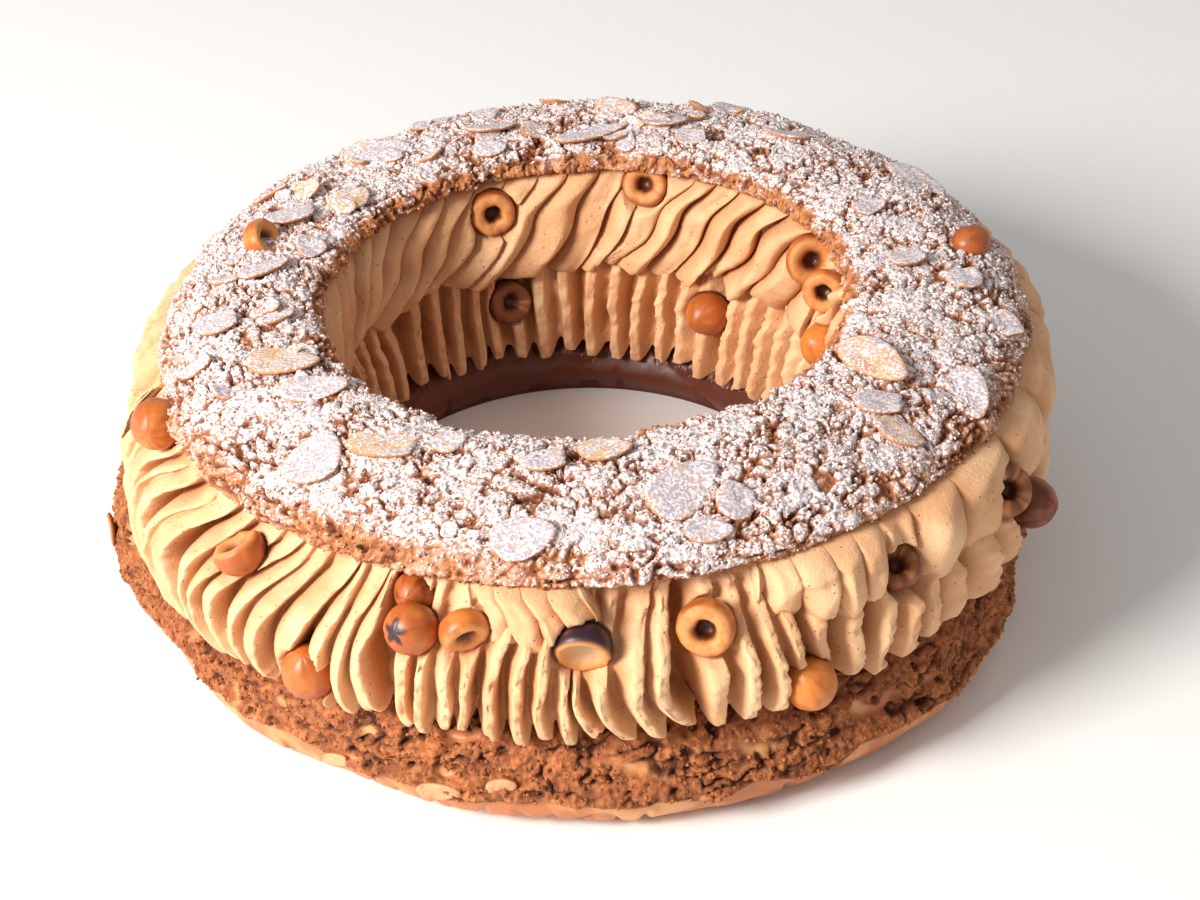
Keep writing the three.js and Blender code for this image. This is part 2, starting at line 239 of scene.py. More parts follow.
@dataclass(frozen=True)
class Setting:
    """How the ring's layers have swelled in the oven and settled on each other."""

    base_swell: tuple[tuple[float, float], ...] = BASE_SWELL
    lid_swell: tuple[tuple[float, float], ...] = LID_SWELL
    swell_radii: tuple[float, float] = (85, 115)
    base_heights: tuple[float, float] = (12, 26)
    settle_heights: tuple[float, float] = (30, 60)
    shift: float = 2.6
    slope: float = 0.012

    def placed(self, degrees: Array, radius: Array, height: Array) -> Array:
        """Points at ring angles, radii and heights.

        Args:
            degrees: ring angles.
            radius: distances from the middle of the ring.
            height: heights over the plate.

        Returns:
            The points, with x, y and z in the last axis.
        """
        settled = self.share(height, self.settle_heights)
        low = 1 - self.share(height, self.base_heights)
        turned = np.mod(degrees, 360)
        swell = low * np.interp(turned, *zip(*self.base_swell))
        swell = swell + settled * np.interp(turned, *zip(*self.lid_swell))
        swollen = radius + swell * self.share(radius, self.swell_radii)
        x = swollen * np.cos(np.radians(degrees))
        y = swollen * np.sin(np.radians(degrees))
        return np.stack([x + self.shift * settled, y, height + self.slope * x * settled], axis=-1)

    @staticmethod
    def share(values: Array, span: tuple[float, float]) -> Array:
        """How far values have come along a span, from 0 to 1."""
        return np.clip((values - span[0]) / (span[1] - span[0]), 0, 1)


@dataclass(frozen=True)
class Section:
    """A closed half section of the ring, going anticlockwise.

    Each knot is a radius, a height and any further weights, and spans holds how many rows of the mesh
    lie between each knot and the next, the last one leading back to the first knot.
    """

    knots: tuple[tuple[float, ...], ...]
    spans: tuple[int, ...]

    @property
    def rows(self) -> int:
        """The number of rows of the mesh."""
        return sum(self.spans)

    def sampled(self) -> tuple[Array, Array]:
        """Reads the section row by row.

        Returns:
            The knots' values on a smooth curve, and the outward directions in radius and height.
        """
        loop = np.array(self.knots + (self.knots[0],), float)
        lengths = np.hypot(*np.diff(loop[:, :2], axis=0).T)
        stops = np.concatenate(([0.0], np.cumsum(lengths)))
        pairs = zip(stops[:-1], stops[1:], self.spans)
        at = np.concatenate([np.linspace(start, end, rows, endpoint=False) for start, end, rows in pairs])
        values = through(stops, loop, at)
        along = np.roll(values[:, :2], -1, axis=0) - np.roll(values[:, :2], 1, axis=0)
        outward = np.stack([along[:, 1], -along[:, 0]], axis=1)
        return values, outward / np.linalg.norm(outward, axis=1, keepdims=True)


def ring_points(degrees: Array, radius: Array, height: Array) -> Array:
    """Points, or directions, at ring angles, with no swelling or settling."""
    angle = np.radians(degrees)
    return np.stack([radius * np.cos(angle), radius * np.sin(angle), height], axis=-1)


# ---- Meshes and materials -----------------------------------------------------------------


def linear(hex_code: str) -> tuple[float, float, float, float]:
    """Turns an sRGB hex colour to the linear colour that a shader takes.

    Args:
        hex_code: six hex digits after a #.

    Returns:
        Red, green, blue and an opacity of 1.
    """
    parts = [int(hex_code[start : start + 2], 16) / 255 for start in (1, 3, 5)]
    red, green, blue = [
        part / 12.92 if part <= 0.04045 else ((part + 0.055) / 1.055) ** 2.4 for part in parts
    ]
    return red, green, blue, 1.0


def per_mm(size: float) -> float:
    """The scale that gives a pattern on Object coordinates features of a size in millimetres."""
    return 1 / (size * MM)


@dataclass(frozen=True)
class NodeKind:
    """A kind of node: its type, the inputs that take values, its output, fixed inputs and settings."""

    type: str
    inputs: tuple[int | str, ...] = ()
    output: int | str = 0
    fixed: dict = field(default_factory=dict)
    settings: dict = field(default_factory=dict)


PLACE = NodeKind("ShaderNodeTexCoord", output="Object")
MARK = NodeKind("ShaderNodeAttribute", output="Fac")
TIMES, PLUS, MINUS, HIGHER, ABOVE, BELOW = [
    NodeKind("ShaderNodeMath", (0, 1), settings={"operation": operation})
    for operation in ("MULTIPLY", "ADD", "SUBTRACT", "MAXIMUM", "GREATER_THAN", "LESS_THAN")
]
MIX = NodeKind("ShaderNodeMix", (0, 6, 7), 2, settings={"data_type": "RGBA"})
# A smooth step of a value from 0 at the first limit to 1 at the second.
STEP = NodeKind(
    "ShaderNodeMapRange", ("Value", "From Min", "From Max"), "Result", {"To Min": 0.0, "To Max": 1.0},
    {"interpolation_type": "SMOOTHSTEP"},
)
NOISE = NodeKind(
    "ShaderNodeTexNoise", ("Vector", "Scale", "Detail"), "Fac", {"Detail": 2.0, "Roughness": 0.6}
)
CELLS = NodeKind("ShaderNodeTexVoronoi", ("Vector", "Scale"), "Distance")
RED = NodeKind("ShaderNodeSeparateColor", ("Color",))
BUMP = NodeKind("ShaderNodeBump", ("Height", "Distance", "Strength"), "Normal")
OUTPUT = NodeKind("ShaderNodeOutputMaterial", ("Surface",))


@dataclass
class Paint:
    """A material in the making, and the place on the object that its patterns read."""

    name: str

    def __post_init__(self) -> None:
        """Makes the empty material."""
        self.material = bpy.data.materials.new(self.name)
        self.material.use_nodes = True
        self.material.node_tree.nodes.clear()
        self.place = self.node(PLACE)

    def node(self, kind: NodeKind, *values: object, **settings: object) -> Socket | None:
        """Adds a node with its settings and links.

        Args:
            kind: the kind of node.
            values: numbers, hex colours or sockets for its inputs, in their order.
            settings: the node's own properties.

        Returns:
            The node's output, or None where it has none.
        """
        tree = self.material.node_tree
        made = tree.nodes.new(kind.type)
        for key, value in {**kind.settings, **settings}.items():
            setattr(made, key, value)
        for key, value in {**kind.fixed, **dict(zip(kind.inputs, values))}.items():
            if isinstance(value, Socket):
                tree.links.new(value, made.inputs[key])
            else:
                made.inputs[key].default_value = linear(value) if isinstance(value, str) else value
        return made.outputs[kind.output] if made.outputs else None

    def closed(self, inputs: dict) -> bpy.types.Material:
        """Adds the shader, with its values and links, and the output, and returns the material."""
        shader = self.node(NodeKind("ShaderNodeBsdfPrincipled", tuple(inputs)), *inputs.values())
        self.node(OUTPUT, shader)
        return self.material


def glow(weight: float, radius: tuple[float, float, float], depth: float) -> dict:
    """The shader's inputs for light that sinks in, down to a depth in millimetres."""
    return {"Subsurface Weight": weight, "Subsurface Radius": radius, "Subsurface Scale": depth * MM}


class RingShape(Protocol):
    """What a grid is wrapped onto: columns all round, a half section and a place for every point."""

    columns: int
    section: Section

    def place(self, column: Array, row: Array) -> tuple[Array, dict[str, Array]]:
        """The points at columns and at rows of the section, and their marks."""


@dataclass
class Workshop:
    """Turns shaped meshes into pieces of the cake."""

    body: str = "root"
    made: list[str] = field(default_factory=list)

    def sheet(self, shape: RingShape, first: int, last: int) -> bmesh.types.BMesh:
        """Wraps a grid round the ring, or round a part of it, as a closed skin.

        Args:
            shape: what the grid is wrapped onto.
            first: the first column.
            last: the last column.

        Returns:
            The closed mesh, with its marks.
        """
        wide = last - first
        skin = bmesh.new()
        bmesh.ops.create_grid(skin, x_segments=wide, y_segments=shape.section.rows, size=1)
        count = np.arange(len(skin.verts))
        column = first + count % (wide + 1)
        row = (count // (wide + 1)) % shape.section.rows
        points, marks = shape.place(column % shape.columns, row)
        for vert, point in zip(skin.verts, (points * MM).tolist()):
            vert.co = point
        for name, values in marks.items():
            layer = skin.verts.layers.float.new(name)
            for vert, value in zip(skin.verts, values.tolist()):
                vert[layer] = value
        bmesh.ops.remove_doubles(skin, verts=skin.verts, dist=1e-6)
        open_edges = [edge for edge in skin.edges if edge.is_boundary]
        if open_edges:
            bmesh.ops.holes_fill(skin, edges=open_edges, sides=0)
        bmesh.ops.recalc_face_normals(skin, faces=skin.faces)
        return skin

    def piece(
        self,
        name: str,
        skin: bmesh.types.BMesh | bpy.types.Mesh,
        material: bpy.types.Material,
        slot: str,
        node: str,
    ) -> None:
        """Makes a piece of the cake from a finished mesh.

        Args:
            name: the piece's name.
            skin: the mesh; one of bmesh's kind is freed.
            material: its material.
            slot: the record's material slot; not used.
            node: the CAD node that the piece stands for.
        """
        mesh = skin
        if isinstance(skin, bmesh.types.BMesh):
            mesh = bpy.data.meshes.new(name)
            skin.to_mesh(mesh)
            skin.free()
        mesh.materials.append(material)
        mesh.polygons.foreach_set("use_smooth", [True] * len(mesh.polygons))
        piece = bpy.data.objects.new(name, mesh)
        bpy.context.scene.collection.objects.link(piece)
        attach(piece, self.body)
        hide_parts(node)
        mesh.calc_loop_triangles()
        LOG.info("%s: %d triangles", name, len(mesh.loop_triangles))
        self.made.append(name)

    def wrapped(
        self, shape: RingShape, stops: dict[str, tuple[int, int]], material: bpy.types.Material,
        slot: str, node: str,
    ) -> None:
        """Makes a closed piece all round the ring, or closed arcs that each stay light enough.

        Args:
            shape: what the pieces are wrapped onto.
            stops: the first and the last column of each piece, by the piece's name.
            material: the pieces' material.
            slot: the record's material slot; not used.
            node: the CAD node that the pieces stand for.
        """
        for name, (first, last) in stops.items():
            self.piece(name, self.sheet(shape, first, last), material, slot, node)


# ---- Finishes -----------------------------------------------------------------------------


@dataclass(frozen=True)
class WhippedPralineCream:
    """Butter cream whipped with praline paste and piped.

    It is satin and slightly translucent, so its folds glow warm in the shade, and ground hazelnut
    skin shows in it as tiny dark specks.
    """

    light: str = "#ecbe92"
    dark: str = "#e0a97c"
    # fold is painted shade, laid into the valleys by their depth.
    fold: str = "#b87a48"
    speck: str = "#7d4a28"
    roughness: float = 0.55

    def material(self) -> bpy.types.Material:
        """Makes the material, which reads the mark fold: 0 on a fin's crest to 1 in its valley, where shade
        is painted.
        """
        paint = Paint("whipped_praline_cream")
        node, place = paint.node, paint.place
        broad = node(NOISE, place, per_mm(14))
        colour = node(MIX, node(STEP, broad, 0.35, 0.65), self.light, self.dark)
        # Painted shade: the valleys between the fins are darkened by their depth.
        colour = node(MIX, node(MARK, attribute_name="fold"), colour, self.fold)
        # Real specks are finer; they are drawn as coarse as they need to be to show.
        cells = node(CELLS, place, per_mm(1.9))
        small = node(BELOW, cells, 0.14)
        chance = node(RED, cells.node.outputs["Color"])
        specks = node(TIMES, small, node(ABOVE, chance, 0.6))
        colour = node(MIX, node(TIMES, specks, 0.75), colour, self.speck)
        fine = node(NOISE, place, per_mm(0.6), 3)
        pores = node(PLUS, fine, node(NOISE, place, per_mm(1.8)))
        return paint.closed({
            "Base Color": colour, "Roughness": self.roughness, "IOR": 1.45,
            "Normal": node(BUMP, pores, 0.3 * MM, 0.7), **glow(0.12, (1.0, 0.5, 0.25), 1.5),
        })


@dataclass(frozen=True)
class SugaredCraquelin:
    """Choux under a crackled biscuit crust, dusted with icing sugar.

    The sugar sits on the tops of the crumbs as matt white grains, and the brown crumb shows between.
    """

    crumb_light: str = "#d0905f"
    crumb: str = "#b0683a"
    # The darkest crumb colour is painted shade for the low places, and a darker tone on some loose crumbs.
    crumb_shade_and_tone: str = "#6a2f15"
    sugar: str = "#f2ecee"
    # sugar_shade is painted shade between the sugar's grains.
    sugar_shade: str = "#c4b6bb"
    veil: float = 0.22
    roughness: float = 0.85

    def material(self) -> bpy.types.Material:
        """Makes the material, which reads the mark sugar and the mark of painted shade in the low places,
        which also darkens some loose crumbs at random.
        """
        paint = Paint("sugared_craquelin")
        node, place = paint.node, paint.place
        grain = node(NOISE, place, per_mm(1.2), 3)
        crumb = node(MIX, node(STEP, grain, 0.35, 0.65), self.crumb, self.crumb_light)
        # Painted shade: the cracks, hollows and gaps and the loose crumbs' undersides are darkened; some
        # crumbs are also darker at random.
        crumb = node(MIX, node(MARK, attribute_name="pit_shade_and_tone"), crumb, self.crumb_shade_and_tone)
        dust = node(MARK, attribute_name="sugar")
        # Icing sugar is a fine powder; its grains are drawn as coarse as they need to be to show, with
        # painted shade in grey between them.
        fine = node(NOISE, place, per_mm(0.7), 2)
        sugar = node(MIX, node(STEP, fine, 0.38, 0.62), self.sugar_shade, self.sugar)
        speckle = node(TIMES, node(MINUS, fine, 0.5), 1.8)
        cover = node(STEP, node(PLUS, dust, speckle), 0.4, 0.6)
        veil = node(TIMES, node(STEP, dust, 0.0, 0.35), self.veil)
        colour = node(MIX, node(HIGHER, cover, veil), crumb, sugar)
        rise = node(PLUS, fine, grain)
        return paint.closed({
            "Base Color": colour, "Roughness": self.roughness, "Normal": node(BUMP, rise, 0.35 * MM, 0.8),
            **glow(0.08, (1.0, 0.5, 0.3), 1),
        })


@dataclass(frozen=True)
class SugaredAlmond:
    """Blanched almond cut in flakes and baked: pale satin faces, browned at the rim, under icing sugar."""

    face: str = "#e3b98e"
    blush: str = "#cf946c"
    rim: str = "#b87444"
    sugar: str = "#eee7ec"
    # sugar_shade is painted shade between the sugar's grains, and partly the thin sugar's own greyer
    # colour.
    sugar_shade: str = "#b5a6b2"
    roughness: float = 0.6

    def material(self) -> bpy.types.Material:
        """Makes the material, which reads the marks sugar and rim."""
        paint = Paint("sugared_almond")
        node, place = paint.node, paint.place
        grain = node(NOISE, place, per_mm(3.5), 3)
        colour = node(MIX, node(STEP, grain, 0.45, 0.7), self.face, self.blush)
        colour = node(MIX, node(MARK, attribute_name="rim"), colour, self.rim)
        fine = node(NOISE, place, per_mm(0.8), 2)
        # The grey between the sugar's grains is painted shade, and partly the thin sugar's own colour.
        sugar = node(MIX, node(STEP, fine, 0.4, 0.62), self.sugar_shade, self.sugar)
        speckle = node(TIMES, node(MINUS, fine, 0.5), 2.2)
        dust = node(PLUS, node(MARK, attribute_name="sugar"), speckle)
        colour = node(MIX, node(STEP, dust, 0.42, 0.58), colour, sugar)
        return paint.closed({
            "Base Color": colour, "Roughness": self.roughness, "Normal": node(BUMP, fine, 0.3 * MM, 0.8),
            **glow(0.1, (1.0, 0.6, 0.4), 1.5),
        })


@dataclass(frozen=True)
class BakedChoux:
    """Choux baked brown on a sheet.

    Its foot is a smooth egg-washed skin with a low gloss, and above it the crust has torn open into a
    dry pitted crumb.
    """

    skin: str = "#bd7040"
    skin_dark: str = "#9a4a28"
    skin_light: str = "#d89a62"
    crumb: str = "#9a5229"
    crumb_light: str = "#bb7544"
    # The darkest crumb colour is painted shade for the low places, and a darker tone on some loose crumbs.
    pit_shade_and_tone: str = "#4c210e"
    # inside darkens the inner side: partly the skin's own darker tone, partly painted shade.
    inside: str = "#5f2a16"
    roughness: float = 0.4
    matter: float = 0.45

    def material(self) -> bpy.types.Material:
        """Makes the material, which reads the mark crumb, the mark of painted shade in the low places and
        the mark inside, which darkens the inner side partly as painted shade.
        """
        paint = Paint("baked_choux")
        node, place = paint.node, paint.place
        broad, blotch = node(NOISE, place, per_mm(16), 3), node(NOISE, place, per_mm(7), 3)
        skin = node(MIX, node(STEP, broad, 0.4, 0.62), self.skin, self.skin_light)
        skin = node(MIX, node(STEP, blotch, 0.5, 0.75), skin, self.skin_dark)
        grain = node(NOISE, place, per_mm(1.4), 4)
        crumb = node(MIX, node(STEP, grain, 0.4, 0.62), self.crumb, self.crumb_light)
        # Painted shade in the crumb's low places and under the loose crumbs; some crumbs are also darker at
        # random.
        crumb = node(MIX, node(MARK, attribute_name="pit_shade_and_tone"), crumb, self.pit_shade_and_tone)
        torn = node(MARK, attribute_name="crumb")
        # The inner side is darker: partly the skin's own tone, partly painted shade.
        skin = node(MIX, node(MARK, attribute_name="inside"), skin, self.inside)
        matt = node(TIMES, torn, self.matter)
        coarse = node(PLUS, node(TIMES, torn, 0.9), 0.1)
        rise = node(TIMES, grain, coarse)
        return paint.closed({
            "Base Color": node(MIX, torn, skin, crumb),
            "Roughness": node(PLUS, matt, self.roughness),
            "Normal": node(BUMP, rise, 0.7 * MM, 0.8), **glow(0.06, (1.0, 0.4, 0.2), 1),
        })


@dataclass(frozen=True)
class RoastedHazelnut:
    """Hazelnut roasted in its skin: a thin streaky brown skin with a soft gloss over a pale tan kernel."""

    pale_skin: str = "#d47e34"
    skin: str = "#ac5824"
    dark_skin: str = "#5c2414"
    black_skin: str = "#2c1420"
    kernel: str = "#d4935a"
    # hollow is painted shade in a cut nut's hole.
    hollow: str = "#54270f"
    bare: str = "#c8bd9c"
    roughness: float = 0.4
    matter: float = 0.25

    def material(self) -> bpy.types.Material:
        """Makes the material, which reads the marks tone, kernel, hollow, bare and burnt; hollow paints
        shade into a cut nut's hole.
        """
        paint = Paint("roasted_hazelnut")
        node, place = paint.node, paint.place
        marks = ("tone", "kernel", "hollow", "bare", "burnt")
        tone, cut, hollow, bare, burnt = [node(MARK, attribute_name=name) for name in marks]
        blotch = node(NOISE, place, per_mm(4.5), 4)
        shifted = node(PLUS, tone, node(MINUS, blotch, 0.5))
        skin = node(MIX, node(STEP, shifted, 0.0, 0.5), self.pale_skin, self.skin)
        skin = node(MIX, node(STEP, shifted, 0.5, 1.0), skin, self.dark_skin)
        skin = node(MIX, burnt, skin, self.black_skin)
        grain = node(NOISE, place, per_mm(1.6), 3)
        kernel = node(MIX, node(STEP, grain, 0.45, 0.7), self.kernel, self.pale_skin)
        toasted = node(TIMES, node(STEP, tone, 0.55, 0.85), 0.8)
        kernel = node(MIX, toasted, kernel, self.dark_skin)
        colour = node(MIX, bare, node(MIX, cut, skin, kernel), self.bare)
        # Painted shade: the hole of a cut nut is darkened.
        colour = node(MIX, hollow, colour, self.hollow)
        matt = node(TIMES, cut, self.matter)
        return paint.closed({
            "Base Color": colour, "Roughness": node(PLUS, matt, self.roughness),
            "Normal": node(BUMP, blotch, 0.25 * MM, 0.5), **glow(0.1, (1.0, 0.45, 0.2), 1.5),
        })


@dataclass(frozen=True)
class PaintedTable:
    """A matt white table top: pale and even, so the cake's shadow is all that shows on it."""

    colour: str = "#f3f4f6"
    shade: str = "#e6e6e8"
    roughness: float = 0.7

    def material(self) -> bpy.types.Material:
        """Makes the material."""
        paint = Paint("matt_white_table")
        soft = paint.node(NOISE, paint.place, per_mm(60))
        share = paint.node(TIMES, soft, 0.03)
        colour = paint.node(MIX, share, self.colour, self.shade)
        return paint.closed({"Base Color": colour, "Roughness": self.roughness})


# ---- Praline cream ------------------------------------------------------------------------


@dataclass(frozen=True)
class Stroke:
    """One pass of the nozzle, which leaves a few fins.

    tips holds the ring angles of the first and last fin's tip, lean how far each fin's top lies past its
    tip for those two, curl how far its middle bows, reach and upper how far it stands out in the lower
    and the upper tier, and drop how far its tip hangs. saw is 0 for an upright fin and 1 for one that
    lies on the next like a roof tile, depth how deep its valleys are, gap how much deeper the valley
    after the stroke is, and pleats how strongly finer ridges show on a fin's face.
    """

    tips: tuple[float, float]
    fins: int
    lean: tuple[float, float]
    curl: float
    reach: float
    upper: float
    drop: float
    saw: float = 0.5
    depth: float = 1.0
    gap: float = 1.25
    pleats: float = 0.4


@dataclass(frozen=True)
class EvenStrokes:
    """Strokes that fill a stretch of the ring and differ a little from each other."""

    start: float
    end: float
    strokes: int
    fins: int
    lean: float
    curl: float
    reach: tuple[float, float]
    upper: tuple[float, float]
    drop: float
    seed: int
    saw: float = 0.4
    depth: float = 1.0
    gap: float = 1.2

    def strokes_made(self) -> list[Stroke]:
        """The strokes, in order round the ring."""
        dice = Dice(self.seed)
        pitch = (self.end - self.start) / self.strokes
        made = []
        for index in range(self.strokes):
            first = self.start + pitch * index + dice.vary(0.05 * pitch)
            shared = dice.vary(self.lean)
            made.append(Stroke(
                tips=(first, first + pitch * (1 - 0.9 / self.fins)),
                fins=self.fins,
                lean=(shared + self.lean * 0.4, shared - self.lean * 0.4),
                curl=dice.vary(self.curl),
                reach=blend(*self.reach, dice.roll()),
                upper=blend(*self.upper, dice.roll()),
                drop=dice.vary(self.drop),
                saw=self.saw,
                depth=self.depth,
                gap=self.gap,
            ))
        return made


OUTER_STROKES = (
    Stroke((185.5, 191), 2, (1, 1.5), -3, -3.6, -4, 0, saw=1, depth=0.6, gap=1.3, pleats=0.6),
    Stroke((197.5, 203), 2, (2, 2.5), -7, -3.6, -4, 0, saw=1, depth=0.3, gap=3.4, pleats=0.6),
    Stroke((208, 213), 2, (1, 0), -8, -2.2, -3.6, 0, saw=1, depth=0.3, gap=3.4, pleats=0.6),
    Stroke((217.4, 222.6), 2, (-1, -2), -8, -0.2, -3.4, -1, saw=1, depth=0.32, gap=3.2, pleats=0.6),
    Stroke((225, 227.8), 3, (0, 4.6), -5.8, 0.2, -3.6, -1, saw=1, depth=0.75, gap=1.4, pleats=0.6),
    Stroke((229.8, 238), 3, (4.6, 3), -2.8, 0.4, -3.4, -0.6, saw=1, depth=0.75, gap=1.5, pleats=0.6),
    Stroke((241.5, 247.6), 3, (1.2, -1), -1.5, 0.6, -3, 0.6, saw=0.9, depth=0.8, gap=1.5, pleats=0.6),
    Stroke((251, 257.6), 4, (-1, 1), -0.6, 1.4, -2, -0.6, saw=0.3, depth=1.0),
    Stroke((260.4, 268.4), 4, (0.6, -1), -0.6, 1.4, 0.6, 0.6, saw=0.3, depth=1.05),
    Stroke((272, 281), 4, (-1.4, -2.2), -2.4, 2.6, -4, -1, saw=0.5, depth=1.05, gap=1.4, pleats=0.6),
    Stroke((284.8, 294), 4, (-1.5, -3), 0.4, 2.6, -2, -1, saw=0.35, depth=1.1),
    Stroke((298, 301.2), 2, (-2, 0), -0.6, 0.2, -2.4, 0, saw=0.3),
    Stroke((303.6, 312.4), 3, (2, -1), -0.6, 1, -2.4, -0.6, saw=0.4, depth=1.1),
    Stroke((317.4, 329.4), 3, (-3, -5), 0.4, 0.8, -3, -1, saw=0.85, depth=1.15, pleats=0.8),
    Stroke((336, 349), 3, (-4, -3), 0.4, -2.2, -3, 0, saw=0.85, depth=1.1, pleats=0.8),
)
OUTER_REST = EvenStrokes(
    355, 544, 15, fins=3, lean=2, curl=1.2, reach=(-4.4, -3), upper=(-3, -1.4), drop=1.4, seed=SEED + 2,
    saw=0.5,
)
INNER_STROKES = EvenStrokes(
    188, 548, 30, fins=2, lean=1.6, curl=0.8, reach=(-0.5, 0.5), upper=(-0.6, 0.6), drop=1.8, seed=SEED + 4,
    saw=0.2, depth=1.1,
)

# Knots of the cream's two half sections: radius, height, share of the upper tier's reach, share of the
# fins' lean, depth of the fins and how much the fins hang as tips.
OUTER_WALL = Section(
    (
        (89, 22.2, 0, 0, 0, 0), (106, 26.6, 0, 0, 0, 0), (111.8, 28.4, 0, 0, 0, 0.3),
        (119.6, 27.4, 0, 0, 5, 1), (122.2, 37, 0, 0.32, 8, 0.3), (119.2, 48, 0.1, 0.7, 7, 0),
        (116.6, 53, 1, 0.88, 5.5, 0), (108, 60.9, 1, 1, 1, 0), (98, 62.4, 1, 1, 0, 0),
        (89, 63.6, 1, 1, 0, 0),
    ),
    (1, 2, 9, 16, 18, 11, 15, 3, 1, 1),
)
INNER_WALL = Section(
    (
        (91, 63.4, 1, 1, 0, 0), (78, 65.4, 1, 1, 0, 0), (71, 65, 1, 1, 0.5, 0), (67.4, 57, 1, 1, 2, 0),
        (67, 45, 1, 1, 3, 0.5), (65, 37, 0, 1, 3.6, 0.3), (61.2, 23, 0, 0.3, 5, 0.4),
        (60.8, 12.4, 0, 0, 3, 1), (66.6, 16.4, 0, 0, 0, 0.3), (78, 19.6, 0, 0, 0, 0),
        (91, 22.8, 0, 0, 0, 0),
    ),
    (1, 2, 3, 5, 10, 20, 16, 8, 2, 1, 1),
)

# The fins' profile between one crest and the next, as shares of the pitch and of the depth: of
# upright fins with a crisp blunt crest, and of fins that lie on each other like roof tiles.
BLADE_FIN = (
    (0, 0), (0.065, 0.0), (0.125, 0.015), (0.16, 0.06), (0.178, 0.17), (0.188, 0.36), (0.2, 0.6),
    (0.225, 0.83), (0.27, 0.96), (0.34, 1), (0.41, 0.98), (0.47, 0.9), (0.53, 0.77), (0.59, 0.62),
    (0.65, 0.47), (0.705, 0.32), (0.755, 0.18), (0.795, 0.07), (0.85, 0.01), (0.925, 0),
)
TILED_FIN = (
    (0, 0), (0.03, 0.02), (0.05, 0.1), (0.06, 0.28), (0.062, 0.5), (0.066, 0.72), (0.08, 0.88),
    (0.105, 0.98), (0.14, 1), (0.18, 0.97), (0.23, 0.87), (0.285, 0.73), (0.345, 0.58), (0.41, 0.44),
    (0.48, 0.32), (0.56, 0.21), (0.645, 0.13), (0.735, 0.07), (0.825, 0.03), (0.915, 0.01),
)
FIN_COLUMNS = 20
# The depth from which on a valley is as uneven as the cream gets.
FULL_DEPTH = 3


@dataclass(frozen=True)
class Dent:
    """A dent in the cream with a nut in it: its middle, the way it opens and its radius."""

    middle: tuple[float, float, float]
    way: tuple[float, float, float]
    radius: float


def dented(points: Array, dents: list[Dent]) -> Array:
    """Presses the nuts' dents into the cream.

    Args:
        points: points of the cream's surface.
        dents: the dents.

    Returns:
        The points, of which those in front of a nut lie in its dent.
    """
    moved = points.copy()
    for dent in dents:
        way = np.array(dent.way)
        apart = moved - np.array(dent.middle)
        ahead = apart @ way
        aside = np.linalg.norm(apart - ahead[:, None] * way, axis=1)
        bowl = -np.sqrt(np.maximum(dent.radius**2 - aside**2, 0))
        inside = (aside < dent.radius) & (ahead > bowl) & (ahead < 3 * dent.radius)
        rim = 1 - ramp(aside, dent.radius * 0.86, dent.radius)
        moved[inside] -= ((ahead - bowl) * rim)[inside, None] * way
    return moved


